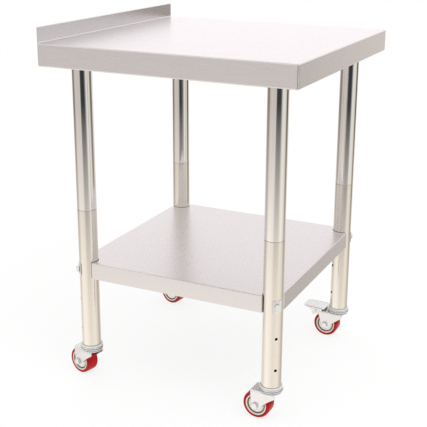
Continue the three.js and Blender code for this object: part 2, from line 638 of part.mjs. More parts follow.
/** The foot pedal: a flanged plate on a pin through the fork's ears, with a pad over the tyre. */
function brakePedal() {
  const inner = FORK_OUTER + RUNNING_GAP;
  const outer = inner + PEDAL_SHEET;
  const plateBottom = PIVOT_HEIGHT + BRAKE_EAR_RADIUS + RUNNING_GAP;
  const plateTop = plateBottom + PEDAL_PLATE_THICKNESS;
  const front = Math.max(RACE_RADIUS, PLUG_FLANGE_RADIUS) + PEDAL_FRONT_GAP;
  const cheek = pedalCheek(front, plateBottom, plateTop);
  const padHalf = FORK_INNER - FORK_SIDE_GAP;
  const pin = bar(PEDAL_PIN_RADIUS, -outer, outer, BOLT_SIDES).rotate([90, 0, 0]);
  return box([front, -outer, plateBottom], [TRAIL + PEDAL_PAST_AXLE, outer, plateTop])
    .add(upright(cheek, inner, outer, 4))
    .add(upright(cheek, -outer, -inner, 4))
    .add(upright(brakePad(plateBottom), -padHalf, padHalf))
    .add(pin.translate([PIVOT_ALONG, 0, PIVOT_HEIGHT]));
}

for (const [corner, { side, end, swivel, brake }] of Object.entries(CORNERS)) {
  const caster = new THREE.Group();
  caster.position.set(side * LEG_X, end * LEG_Y, 0);
  caster.rotation.z = THREE.MathUtils.degToRad(swivel);
  table.add(caster);
  addPiece(`leg_plug_${corner}`, legPlug(), PLUG_PLASTIC, caster);
  addPiece(`caster_stem_${corner}`, casterStem(), ZINC, caster);
  addPiece(`caster_fork_${corner}`, casterFork(brake), ZINC, caster);
  addPiece(`axle_${corner}`, axle(), ZINC, caster);
  addPiece(`wheel_hub_${corner}`, wheelHub(), HUB_PLASTIC, caster);
  addPiece(`tyre_${corner}`, tyre(), RED_TYRE, caster);
  if (brake) {
    addPiece(`brake_pedal_${corner}`, brakePedal(), ZINC, caster);
  }
}

export default table;
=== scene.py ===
"""A stainless work table on four swivel casters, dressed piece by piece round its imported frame.
Metres, +Z up."""

import json
import math

import bmesh
import bpy
import numpy as np
from mathutils import Matrix, Vector


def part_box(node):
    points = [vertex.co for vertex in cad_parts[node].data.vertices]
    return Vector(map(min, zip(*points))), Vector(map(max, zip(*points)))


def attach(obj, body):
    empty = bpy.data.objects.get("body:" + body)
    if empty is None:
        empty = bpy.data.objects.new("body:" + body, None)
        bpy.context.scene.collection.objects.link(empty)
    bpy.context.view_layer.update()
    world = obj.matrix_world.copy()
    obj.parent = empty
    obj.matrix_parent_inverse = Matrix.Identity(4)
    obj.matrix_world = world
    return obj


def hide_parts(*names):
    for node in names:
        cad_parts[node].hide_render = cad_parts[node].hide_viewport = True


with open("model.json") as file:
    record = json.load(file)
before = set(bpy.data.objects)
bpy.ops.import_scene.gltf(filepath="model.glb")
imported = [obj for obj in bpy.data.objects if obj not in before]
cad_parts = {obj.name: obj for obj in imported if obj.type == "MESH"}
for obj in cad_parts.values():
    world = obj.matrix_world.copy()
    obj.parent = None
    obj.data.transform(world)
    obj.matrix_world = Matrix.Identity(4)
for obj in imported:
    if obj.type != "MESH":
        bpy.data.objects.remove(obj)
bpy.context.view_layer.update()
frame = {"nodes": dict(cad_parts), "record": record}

scene = bpy.context.scene
scene.view_settings.view_transform = "Standard"

# ---- the camera ----
# It stands to the left of the table's front corner and looks a little down on the top,
# so that the left side and the front both show.

CAMERA_TURN = math.radians(-64.83)
CAMERA_RISE = math.radians(16.88)
CAMERA_ROLL = math.radians(0.44)
CAMERA_DISTANCE = 2.2285
CAMERA_AIM = Vector((0, 0, 0.4354))

towards_camera = Vector((
    math.sin(CAMERA_TURN) * math.cos(CAMERA_RISE),
    -math.cos(CAMERA_TURN) * math.cos(CAMERA_RISE),
    math.sin(CAMERA_RISE),
))
level_right = Vector((0, 0, 1)).cross(towards_camera).normalized()
level_up = towards_camera.cross(level_right)
camera_right = level_right * math.cos(CAMERA_ROLL) + level_up * math.sin(CAMERA_ROLL)
camera_up = level_up * math.cos(CAMERA_ROLL) - level_right * math.sin(CAMERA_ROLL)

camera_data = bpy.data.cameras.new("camera")
camera_data.lens = 77.85
camera_data.sensor_width = 36
camera_data.shift_x = -0.0194
camera_data.shift_y = -0.0550
camera = bpy.data.objects.new("camera", camera_data)
camera.matrix_world = Matrix.Translation(CAMERA_AIM + towards_camera * CAMERA_DISTANCE) @ Matrix(
    (camera_right, camera_up, towards_camera)
).transposed().to_4x4()
scene.collection.objects.link(camera)
scene.camera = camera

# ---- the studio round the table ----
# Soft white light from all sides. The polished metal mirrors a room that is white above,
# cream low down, and has a few dark standing screens in between.


def node(tree, kind, sockets=None, **options):
    """Adds a shader node with its options. Each socket gets a plain value or another node's output."""
    made = tree.nodes.new("ShaderNode" + kind)
    for option, value in options.items():
        setattr(made, option, value)
    for socket, value in (sockets or {}).items():
        if isinstance(value, bpy.types.NodeSocket):
            tree.links.new(value, made.inputs[socket])
        else:
            made.inputs[socket].default_value = value
    return made


def ramp(tree, value, stops):
    """A colour band: stops are (place from 0 to 1, colour), and it runs straight from each to the next."""
    made = node(tree, "ValToRGB", {"Fac": value})
    band = made.color_ramp
    while len(band.elements) < len(stops):
        band.elements.new(0.5)
    for element, (place, colour) in zip(band.elements, stops):
        element.position = place
        element.color = (*colour, 1)
    return made.outputs["Color"]


def mixed(tree, share, first, second):
    """A colour that goes from the first to the second as share goes from 0 to 1."""
    made = node(tree, "Mix", {0: share}, data_type="RGBA")
    for socket, value in ((6, first), (7, second)):
        if isinstance(value, bpy.types.NodeSocket):
            tree.links.new(value, made.inputs[socket])
        else:
            made.inputs[socket].default_value = (*value, 1)
    return made.outputs[2]


def rescaled(tree, value, low, high, to_low, to_high):
    """A number moved from one range to another, and held at the new range's ends."""
    sockets = {"Value": value, "From Min": low, "From Max": high, "To Min": to_low, "To Max": to_high}
    return node(tree, "MapRange", sockets).outputs["Result"]


def by_degrees(stops):
    """Stops given at degrees from -180 to 180 as places from 0 to 1."""
    return [((degrees + 180) / 360, colour) for degrees, colour in stops]


world = bpy.data.worlds.new("studio")
scene.world = world
world.use_nodes = True
room = world.node_tree
room.nodes.clear()
heading = node(room, "TexCoord").outputs["Generated"]
flat_back = Vector((towards_camera.x, towards_camera.y, 0)).normalized()
ahead = node(room, "VectorMath", {0: heading, 1: flat_back}, operation="DOT_PRODUCT")
aside = node(room, "VectorMath", {0: heading, 1: level_right}, operation="DOT_PRODUCT")
turn = node(room, "Math", {0: aside.outputs["Value"], 1: ahead.outputs["Value"]}, operation="ARCTAN2")
turn_share = rescaled(room, turn.outputs[0], -math.pi, math.pi, 0, 1)
rise = node(room, "SeparateXYZ", {0: heading}).outputs["Z"]

screens = ramp(room, turn_share, by_degrees([
    (-180, (0.95, 0.93, 0.91)), (-150, (0.60, 0.55, 0.51)), (-132, (0.34, 0.26, 0.20)),
    (-108, (0.30, 0.24, 0.21)), (-94, (0.68, 0.62, 0.58)), (-74, (0.80, 0.74, 0.70)),
    (-45, (0.74, 0.68, 0.65)), (-24, (0.78, 0.74, 0.72)), (-16, (0.12, 0.115, 0.12)),
    (-5, (0.05, 0.05, 0.055)), (22, (0.05, 0.05, 0.055)), (34, (0.26, 0.25, 0.25)),
    (44, (0.84, 0.82, 0.80)), (62, (1.02, 1.00, 0.97)), (88, (0.86, 0.82, 0.76)),
    (102, (0.20, 0.16, 0.10)), (120, (0.12, 0.09, 0.06)), (128, (0.50, 0.45, 0.41)),
    (138, (1.06, 0.99, 0.94)),
]))
low_walls = ramp(room, turn_share, by_degrees([
    (-180, (1.05, 1.00, 0.95)), (-110, (1.05, 0.99, 0.93)), (-75, (1.46, 1.38, 1.31)),
    (-30, (1.36, 1.29, 1.21)), (0, (1.20, 1.13, 1.04)), (60, (1.26, 1.19, 1.10)), (96, (1.02, 0.96, 0.87)),
    (112, (0.72, 0.66, 0.60)), (150, (0.78, 0.73, 0.69)), (179, (0.95, 0.91, 0.86)),
]))
# rise is the sine of the angle above level
ceiling = ramp(room, rise, [
    (0.0, (1.62, 1.57, 1.60)), (0.13, (1.56, 1.51, 1.55)), (0.20, (1.36, 1.31, 1.35)),
    (0.42, (1.22, 1.155, 1.15)),
    (1.0, (1.0, 0.98, 0.99)),
])
below_screens = rescaled(room, rise, -0.40, -0.20, 0, 1)
above_screens = rescaled(room, rise, 0.0, 0.09, 0, 1)
mirrored = mixed(room, above_screens, mixed(room, below_screens, low_walls, screens), ceiling)
path = node(room, "LightPath")
soft_white = mixed(room, path.outputs["Is Camera Ray"], (1.0, 0.99, 0.985), (1.0, 1.0, 1.0))
seen = mixed(room, path.outputs["Is Glossy Ray"], soft_white, mirrored)
background = node(room, "Background", {"Color": seen, "Strength": 1.0})
node(room, "OutputWorld", {"Surface": background.outputs[0]})
world.cycles.sampling_method = "NONE"  # so that mirrored rays and soft ones each meet their own room

lamp_data = bpy.data.lights.new("soft_lamp", "AREA")
lamp_data.shape = "DISK"
lamp_data.size = 1.6
lamp_data.energy = 14
lamp = bpy.data.objects.new("soft_lamp", lamp_data)
lamp.location = (-0.9, -1.1, 2.3)
lamp.rotation_euler = (Vector((0, 0, 0.5)) - lamp.location).to_track_quat("-Z", "Y").to_euler()
lamp.visible_glossy = False
scene.collection.objects.link(lamp)

# ---- the worktop ----
# One sheet of brushed stainless steel, folded down on all sides and hemmed inwards. Its corners
# are welded and ground round. A doubled upstand of the same sheet rises along the back edge.


def add_piece(name, shell, finish, body, stands_for=(), sharp=35, soften=0.0):
    """Makes one piece from a shell's points and faces: faces outwards, smooth but for edges sharper than
    the given degrees, and edges bevelled by soften. It rides on its body and stands for its frame nodes."""
    points, faces = shell
    mesh = bpy.data.meshes.new(name)
    mesh.from_pydata(np.asarray(points, float).tolist(), [], faces)
    work = bmesh.new()
    work.from_mesh(mesh)
    bmesh.ops.remove_doubles(work, verts=work.verts, dist=1e-7)
    bmesh.ops.recalc_face_normals(work, faces=work.faces)
    work.to_mesh(mesh)
    work.free()
    mesh.shade_smooth()
    mesh.set_sharp_from_angle(angle=math.radians(sharp))
    mesh.materials.append(finish)
    piece = bpy.data.objects.new(name, mesh)
    scene.collection.objects.link(piece)
    if soften:
        bevel = piece.modifiers.new("softened", "BEVEL")
        bevel.width = soften
        bevel.segments = 2
        bevel.limit_method = "ANGLE"
        bevel.angle_limit = math.radians(sharp)
    flats = piece.modifiers.new("flats_stay_flat", "WEIGHTED_NORMAL")
    flats.keep_sharp = True
    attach(piece, body)
    if stands_for:
        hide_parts(*stands_for)
    return piece


def loft(rings, closed=False):
    """Rings of points, each joined to the next with four-sided faces. The first and last ring are
    closed flat, or joined to each other where the skin is closed."""
    count, around = rings.shape[:2]
    first = np.arange(count if closed else count - 1)[:, None]
    across = np.arange(around)[None, :]
    following = (first + 1) % count
    beside = (across + 1) % around
    corners = [first * around + across, first * around + beside, following * around + beside]
    corners.append(following * around + across)
    faces = np.stack([np.broadcast_to(c, (len(first), around)) for c in corners], -1).reshape(-1, 4).tolist()
    if not closed:
        faces.append(list(range(around)))
        faces.append(list(range((count - 1) * around, count * around)))
    return rings.reshape(-1, 3), faces


def together(*shells):
    """Several closed shells as one piece: their points in one array, their faces numbered to match."""
    starts = np.cumsum([0] + [len(points) for points, _ in shells])
    faces = [[i + int(start) for i in face] for start, (_, own) in zip(starts, shells) for face in own]
    return np.vstack([points for points, _ in shells]), faces


def arc(middle, radius, start, end, steps):
    """Points on a circle about the middle, from one angle to another in degrees."""
    angles = np.radians(np.linspace(start, end, steps))
    return np.stack([middle[0] + radius * np.cos(angles), middle[1] + radius * np.sin(angles)], -1)


def tray_section(top, bottom, sheet, fold, hem, middle):
    """The sheet's section, as inset from the outline and height: out along the top, round a fold, down the
    apron, round to the hem and over its edge, and back up inside at the sheet's thickness."""
    inner = fold - sheet
    return np.vstack([
        [(middle, top)], arc((fold, top - fold), fold, 90, 180, 6),
        arc((fold, bottom + fold), fold, 180, 270, 6),
        arc((hem, bottom + sheet / 2), sheet / 2, -90, 90, 5),
        arc((fold, bottom + fold), inner, 270, 180, 6),
        arc((fold, top - fold), inner, 180, 90, 6), [(middle, top - sheet)],
    ])


def swept_round(section, outline):
    """A section of inset and height carried round an outline that is a function of the inset."""
    flat = outline(section[:, :1])
    heights = np.broadcast_to(section[:, 1][:, None, None], (*flat.shape[:2], 1))
    return loft(np.concatenate([flat, heights], -1))


def rounded_square(low, high, radii, steps=9):
    """An outline as a function of its inset: four arcs that shrink with the inset, joined by straights."""
    turns = np.linspace(0, np.pi / 2, steps)[None, :]

    def outline(inset):
        sides = []
        square = ((high[0], high[1]), (low[0], high[1]), (low[0], low[1]), (high[0], low[1]))
        for i, (x, y) in enumerate(square):
            radius = np.maximum(radii[i] - inset, 0.0002)
            way_x, way_y = (np.sign(x - low[0] - 1e-6) or 1), (np.sign(y - low[1] - 1e-6) or 1)
            middle_x = x - way_x * (inset + radius)
            middle_y = y - way_y * (inset + radius)
            angle = turns + i * np.pi / 2
            sides.append(np.stack([middle_x + radius * np.cos(angle), middle_y + radius * np.sin(angle)], -1))
        return np.concatenate(sides, 1)

    return outline


def prism(section, start, end, axis):
    """A closed flat section carried straight along X, Y or Z. Its two numbers are the other two axes, in
    order."""
    others = [i for i in range(3) if i != axis]
    rings = np.zeros((2, len(section), 3))
    rings[:, :, others] = section
    rings[0, :, axis] = start
    rings[1, :, axis] = end
    return loft(rings)


def rounded_corners(points, cut, steps=4):
    """A closed outline whose corners are rounded: each corner becomes a curve that starts and ends at the
    given distance from it, or at less than half of a short side."""
    points = np.asarray(points, float)
    to_last = np.roll(points, 1, 0) - points
    to_next = np.roll(points, -1, 0) - points
    cuts = np.broadcast_to(np.asarray(cut, float), len(points))[:, None]
    reach_last = np.linalg.norm(to_last, axis=1, keepdims=True)
    reach_next = np.linalg.norm(to_next, axis=1, keepdims=True)
    start = points + to_last / reach_last * np.minimum(cuts, reach_last * 0.49)
    end = points + to_next / reach_next * np.minimum(cuts, reach_next * 0.49)
    share = np.linspace(0, 1, steps + 1)[None, :, None]
    leaving = (1 - share) ** 2 * start[:, None]
    turning = 2 * share * (1 - share) * points[:, None]
    curve = leaving + turning + share**2 * end[:, None]
    return curve.reshape(-1, 2)


def group(name, inputs, outputs):
    """An empty shader node group with named number sockets. Returns it with its input and output nodes."""
    made = bpy.data.node_groups.new(name, "ShaderNodeTree")
    for label, value in inputs.items():
        socket = made.interface.new_socket(label, in_out="INPUT", socket_type="NodeSocketFloat")
        socket.default_value = value
    for label in outputs:
        made.interface.new_socket(label, in_out="OUTPUT", socket_type="NodeSocketFloat")
    return made, made.nodes.new("NodeGroupInput"), made.nodes.new("NodeGroupOutput")


def noise(tree, place, scale, detail):
    """Soft noise from 0 to 1, read at a place."""
    return node(tree, "TexNoise", {"Vector": place, "Scale": scale, "Detail": detail}).outputs[0]


def product(tree, first, second):
    """Two numbers multiplied."""
    return node(tree, "Math", {0: first, 1: second}, operation="MULTIPLY").outputs[0]


def brushed_lines():
    """Fine straight scratches that run along X, or along Y on faces that look along X: noise that is
    stretched along the brushing. Clouds are slow changes of tone from hand to hand."""
    inputs = {"Fineness": 420, "Pull": 9, "Cloud Size": 5}
    made, given, out = group("brushed_lines", inputs, ["Lines", "Clouds"])
    place = node(made, "TexCoord").outputs["Object"]
    facing = node(made, "SeparateXYZ", {0: node(made, "TexCoord").outputs["Normal"]}).outputs["X"]
    size = node(made, "Math", {0: facing}, operation="ABSOLUTE").outputs[0]
    looks_along_x = node(made, "Math", {0: size, 1: 0.7}, operation="GREATER_THAN").outputs[0]
    lines = []
    for order in (("Pull", "Fineness", "Fineness"), ("Fineness", "Pull", "Fineness")):
        stretch = node(made, "CombineXYZ", {i: given.outputs[label] for i, label in enumerate(order)})
        drawn = node(made, "VectorMath", {0: place, 1: stretch.outputs[0]}, operation="MULTIPLY")
        lines.append(noise(made, drawn.outputs[0], 1.0, 3.0))
    chosen = node(made, "Mix", {0: looks_along_x, 2: lines[0], 3: lines[1]}, data_type="FLOAT")
    made.links.new(chosen.outputs[0], out.inputs["Lines"])
    made.links.new(noise(made, place, given.outputs["Cloud Size"], 2.0), out.inputs["Clouds"])
    return made


def edge_wear():
    """A mask of outer edges, where handling rubs the surface: how far the rounded normal leaves the true
    one, broken up by noise."""
    made, given, out = group("edge_wear", {"Width": 0.0015, "Amount": 1.0}, ["Worn"])
    rounded = node(made, "Bevel", {"Radius": given.outputs["Width"]}, samples=4).outputs[0]
    true = node(made, "NewGeometry").outputs["Normal"]
    same = node(made, "VectorMath", {0: rounded, 1: true}, operation="DOT_PRODUCT").outputs["Value"]
    edge = rescaled(made, same, 0.75, 0.99, 1, 0)
    place = node(made, "TexCoord").outputs["Object"]
    patches = noise(made, place, 160.0, 3.0)
    broken = product(made, edge, rescaled(made, patches, 0.35, 0.6, 0.4, 1))
    made.links.new(product(made, broken, given.outputs["Amount"]), out.inputs["Worn"])
    return made


def settled_dust():
    """A mask of dust on faces that look up: the upward part of the normal, broken into soft patches."""
    made, given, out = group("settled_dust", {"Amount": 0.3, "Patch Size": 40}, ["Dust"])
    up = node(made, "SeparateXYZ", {0: node(made, "TexCoord").outputs["Normal"]}).outputs["Z"]
    place = node(made, "TexCoord").outputs["Object"]
    patches = noise(made, place, given.outputs["Patch Size"], 4.0)
    lying = product(made, rescaled(made, up, 0.2, 0.9, 0, 1), rescaled(made, patches, 0.4, 0.7, 0, 1))
    made.links.new(product(made, lying, given.outputs["Amount"]), out.inputs["Dust"])
    return made


def painted_corner_shade():
    """A mask of grooves and inner corners for painted shade: how little open space lies round a point.
    Materials darken their colour by it, painting in the shade that falls there.
    """
    made, given, out = group("painted_corner_shade", {"Reach": 0.004, "Amount": 0.6}, ["Grime"])
    # Ambient occlusion used as a colour mask: it paints the shade that falls in grooves and inner corners
    # into their colour.
    space = node(made, "AmbientOcclusion", {"Distance": given.outputs["Reach"]}, samples=8).outputs["AO"]
    closed = rescaled(made, space, 0.25, 0.85, 1, 0)
    made.links.new(product(made, closed, given.outputs["Amount"]), out.inputs["Grime"])
    return made


BRUSHED_LINES = brushed_lines()
EDGE_WEAR = edge_wear()
SETTLED_DUST = settled_dust()
# painted shade for grooves and inner corners, used by the zinc, tube and cream materials
PAINTED_CORNER_SHADE = painted_corner_shade()


def placed_group(tree, which, **values):
    """One use of a shared node group, with this material's own numbers."""
    made = tree.nodes.new("ShaderNodeGroup")
    made.node_tree = which
    for label, value in values.items():
        made.inputs[label.replace("_", " ")].default_value = value
    return made.outputs


def new_finish(name, metallic=0.0, **plain):
    """A material with one surface shader and its output. Returns it, its tree and the shader."""
    finish = bpy.data.materials.new(name)
    finish.use_nodes = True
    tree = finish.node_tree
    tree.nodes.clear()
    sockets = {label.replace("_", " "): value for label, value in plain.items()}
    surface = node(tree, "BsdfPrincipled", {"Metallic": metallic, **sockets})
    node(tree, "OutputMaterial", {"Surface": surface.outputs[0]})
    return finish, tree, surface


def connect(tree, surface, **outputs):
    """Joins outputs to the surface shader's sockets by name."""
    for label, output in outputs.items():
        tree.links.new(output, surface.inputs[label.replace("_", " ")])


def bumped(tree, height, strength, distance):
    """A normal raised by a height."""
    return node(tree, "Bump", {"Height": height, "Strength": strength, "Distance": distance}).outputs[0]


def brushed_stainless():
    """Brushed stainless sheet: its tone and gloss follow the brushing, and edges are burnished."""
    finish, tree, surface = new_finish("brushed_stainless", metallic=1.0)
    grain = placed_group(tree, BRUSHED_LINES, Fineness=900, Pull=14, Cloud_Size=4)
    worn = placed_group(tree, EDGE_WEAR, Width=0.002, Amount=0.7)["Worn"]
    lines = ramp(tree, grain["Lines"], [(0.3, (0.605, 0.590, 0.588)), (0.7, (0.635, 0.620, 0.618))])
    toned = mixed(tree, rescaled(tree, grain["Clouds"], 0.35, 0.65, 0, 0.5), lines, (0.61, 0.595, 0.595))
    connect(tree, surface,
            Base_Color=mixed(tree, worn, toned, (0.80, 0.79, 0.785)),
            Roughness=rescaled(tree, grain["Lines"], 0.3, 0.7, 0.26, 0.31),
            Normal=bumped(tree, grain["Lines"], 0.03, 0.0002))
    return finish


BRUSHED = brushed_stainless()

WORK_HEIGHT = frame["record"]["mounts"][0]["pos_m"][2]
TOP_SHEET = 0.0012
TOP_FOLD = 0.0024
TOP_HEM = 0.014
TOP_FLAT_FROM = 0.03  # the flat middle of the top is closed from this inset inwards
FRONT_CORNER = 0.004
BACK_CORNER = 0.0012

top_low, top_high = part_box("worktop")
corner_radii = (BACK_CORNER, BACK_CORNER, FRONT_CORNER, FRONT_CORNER)
add_piece(
    "folded_top",
    swept_round(
        tray_section(WORK_HEIGHT, top_low.z, TOP_SHEET, TOP_FOLD, TOP_HEM, TOP_FLAT_FROM),
        rounded_square(top_low, top_high, corner_radii),
    ),
    BRUSHED, "table", ["worktop"],
)

UPSTAND_THICKNESS = 0.0024
UPSTAND_FILLET = 0.003  # where the upstand bends out of the top
BACK_PANEL_PROUD = 0.00015  # the upstand's doubled sheet lies over the back apron
BACK_PANEL_BARE = 0.004  # of the apron below it
UPSTAND_END = 0.0004

upstand_front = top_high.y - UPSTAND_THICKNESS
upstand_round = (UPSTAND_THICKNESS + BACK_PANEL_PROUD) / 2
upstand_section = np.vstack([
    [(top_high.y + BACK_PANEL_PROUD, top_low.z + BACK_PANEL_BARE)],
    arc((upstand_front + upstand_round, top_high.z - upstand_round), upstand_round, 0, 180, 9),
    arc((upstand_front - UPSTAND_FILLET, WORK_HEIGHT + UPSTAND_FILLET), UPSTAND_FILLET, 0, -90, 6),
    [(upstand_front - UPSTAND_FILLET, WORK_HEIGHT - TOP_SHEET / 2)],
    [(top_high.y - TOP_SHEET / 2, WORK_HEIGHT - TOP_SHEET / 2)],
    [(top_high.y - TOP_SHEET / 2, top_low.z + BACK_PANEL_BARE)],
])
add_piece(
    "backsplash", prism(upstand_section, top_low.x + UPSTAND_END / 2, top_high.x - UPSTAND_END / 2, 0),
    BRUSHED, "table", ["worktop"], soften=UPSTAND_END,
)

# ---- the channels under the top and the shelf ----
# Hat sections bent from galvanised sheet, bonded to the underside of the top and of the shelf.
# They stiffen the thin sheet, and the ones under the top carry the leg sockets.


def galvanised_sheet():
    """Hot-dipped zinc: grains of slightly different grey, each with its own gloss, and a little dust."""
    finish, tree, surface = new_finish("galvanised_sheet", metallic=0.9)
    place = node(tree, "TexCoord").outputs["Object"]
    grains = node(tree, "TexVoronoi", {"Vector": place, "Scale": 95.0}).outputs["Color"]
    tone = node(tree, "SeparateColor", {0: grains}).outputs[0]
    dust = placed_group(tree, SETTLED_DUST, Amount=0.4, Patch_Size=30)["Dust"]
    zinc = ramp(tree, tone, [(0.0, (0.40, 0.42, 0.43)), (1.0, (0.60, 0.62, 0.63))])
    connect(tree, surface,
            Base_Color=mixed(tree, dust, zinc, (0.52, 0.50, 0.46)),
            Roughness=rescaled(tree, tone, 0, 1, 0.36, 0.52),
            Normal=bumped(tree, tone, 0.08, 0.0003))
    return finish


GALVANISED = galvanised_sheet()

HAT_SHEET = 0.0015
HAT_BEND = 0.003
HAT_FLANGE = 0.012


def hat_channel(node_name):
    """The hat section of a channel, worked out from its box, with rounded bends, carried along Y."""
    low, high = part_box(node_name)
    left, right = low.x + HAT_FLANGE, high.x - HAT_FLANGE
    sheet = HAT_SHEET
    corners = [
        (low.x, high.z), (low.x, high.z - sheet), (left, high.z - sheet), (left, low.z),
        (right, low.z), (right, high.z - sheet), (high.x, high.z - sheet), (high.x, high.z),
        (right - sheet, high.z), (right - sheet, low.z + sheet), (left + sheet, low.z + sheet),
        (left + sheet, high.z),
    ]
    bend = HAT_BEND
    tight = HAT_BEND - HAT_SHEET
    hair = HAT_SHEET / 4
    cuts = [hair, hair, tight, bend, bend, tight, hair, hair, bend, tight, tight, bend]
    return prism(rounded_corners(corners, cuts), low.y, high.y, 1)


for channel in ("top_channel_left", "top_channel_right", "shelf_channel"):
    add_piece(channel + "_bent", hat_channel(channel), GALVANISED, "table", [channel])

# ---- the undershelf ----
# A tray of the same brushed sheet, turned upside down, with its corners cut back in arcs
# round the legs. The bolts through the legs pull its flanges against them.

CORNERS = {
    "front_left": (-1, -1), "front_right": (1, -1), "back_left": (-1, 1), "back_right": (1, 1),
}
SHELF_SHEET = 0.0012
SHELF_FOLD = 0.002
SHELF_HEM = 0.010
SHELF_FLAT_FROM = 0.016
NOTCH_GAP = 0.0006
TIP_RADIUS = 0.003  # of the shelf's corners beside each leg

leg_low, leg_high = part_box("lower_leg_back_right")
LEG_RADIUS = (leg_high.x - leg_low.x) / 2
LEG_X = (leg_high.x + leg_low.x) / 2
LEG_Y = (leg_high.y + leg_low.y) / 2
shelf_low, shelf_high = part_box("shelf")


def notched_square(inset):
    """The shelf's outline at an inset. At each leg it runs round a small tip, in along an arc about the
    leg's axis, and out round another tip. Tip and notch touch where their circles do, which gives
    the angle: its sine is the tip's distance past the axis over the sum of the radii."""
    tip = np.maximum(TIP_RADIUS - inset, 0.0002)
    notch = LEG_RADIUS + NOTCH_GAP + inset
    reach = shelf_high.x - LEG_X - inset
    lean = np.arcsin((reach - tip) / (notch + tip))
    share = np.linspace(0, 1, 5)[None, :]
    long_share = np.linspace(0, 1, 19)[None, :]
    sides = []
    for i, (side, end) in enumerate(((1, 1), (-1, 1), (-1, -1), (1, -1))):
        base = i * np.pi / 2
        start = base + np.pi * 1.5 + lean
        finish = base + np.pi - lean
        tip_turn = share * (np.pi / 2 + lean) + base
        for middle_at, reach_out, radius, angle in (
            (start, notch + tip, tip, tip_turn),
            (0, 0, notch, start + (finish - start) * long_share),
            (finish, notch + tip, tip, tip_turn - lean),
        ):
            x = side * LEG_X + reach_out * np.cos(middle_at) + radius * np.cos(angle)
            y = end * LEG_Y + reach_out * np.sin(middle_at) + radius * np.sin(angle)
            sides.append(np.stack([x, y], -1))
    return np.concatenate(sides, 1)


add_piece(
    "folded_shelf",
    swept_round(
        tray_section(shelf_high.z, shelf_low.z, SHELF_SHEET, SHELF_FOLD, SHELF_HEM, SHELF_FLAT_FROM),
        notched_square,
    ),
    BRUSHED, "table", ["shelf"],
)

# ---- leg sockets and their set screws ----
# Each socket is a steel cup welded to a plate under the channel. The leg pushes up into it,
# and a set screw from the inner side holds it.

SOCKET_PLATE = 0.003
SOCKET_WALL = 0.0025
SOCKET_PLATE_CORNER = 0.006
WELD_RADIUS = 0.0022
SOCKET_GAP = 0.0003  # between the leg and what grips it
SCREW_LENGTH = 0.007
SCREW_RECESS = 0.0016
SIDES = 96


def turned(profile, closed=True, sides=SIDES):
    """A profile of radius and height turned about Z. A closed profile makes a ring, an open one a bar."""
    angles = np.linspace(0, 2 * np.pi, sides, endpoint=False)
    profile = np.asarray(profile, float)
    radius = profile[:, :1]
    heights = np.broadcast_to(profile[:, 1:], (len(profile), sides))
    return loft(np.stack([radius * np.cos(angles), radius * np.sin(angles), heights], -1), closed)


def moved(shell, along):
    """The same shell, moved."""
    return shell[0] + np.asarray(along, float), shell[1]


def along_diagonal(shell, corner, height):
    """A shell drawn along Z, laid level on a leg's axis so that Z points out along the table's diagonal."""
    side, end = CORNERS[corner]
    heading = math.atan2(end, side)
    x, y, z = shell[0].T
    out_x = z * math.cos(heading) - y * math.sin(heading) + side * LEG_X
    out_y = z * math.sin(heading) + y * math.cos(heading) + end * LEG_Y
    return np.stack([out_x, out_y, height - x], -1), shell[1]


def bright_zinc():
    """Zinc-plated steel: pale, slightly blue, with soft cloudy gloss and rubbed edges, and painted shade
    darkening its grooves and inner corners.
    """
    finish, tree, surface = new_finish("bright_zinc", metallic=0.85)
    place = node(tree, "TexCoord").outputs["Object"]
    clouds = noise(tree, place, 70.0, 3.0)
    specks = noise(tree, place, 900.0, 2.0)
    worn = placed_group(tree, EDGE_WEAR, Width=0.0008, Amount=0.6)["Worn"]
    # Painted shade: the corner mask darkens the colour in grooves and inner corners, such as the race's
    # groove, towards dark grey (0.16, 0.165, 0.17).
    painted_shade = placed_group(tree, PAINTED_CORNER_SHADE, Reach=0.003, Amount=0.4)["Grime"]
    plated = ramp(tree, clouds, [(0.3, (0.67, 0.685, 0.685)), (0.7, (0.73, 0.74, 0.735))])
    rubbed = mixed(tree, worn, plated, (0.90, 0.90, 0.89))
    connect(tree, surface,
            Base_Color=mixed(tree, painted_shade, rubbed, (0.16, 0.165, 0.17)),
            Roughness=rescaled(tree, clouds, 0.3, 0.7, 0.32, 0.40),
            Normal=bumped(tree, specks, 0.02, 0.0001))
    return finish


ZINC = bright_zinc()

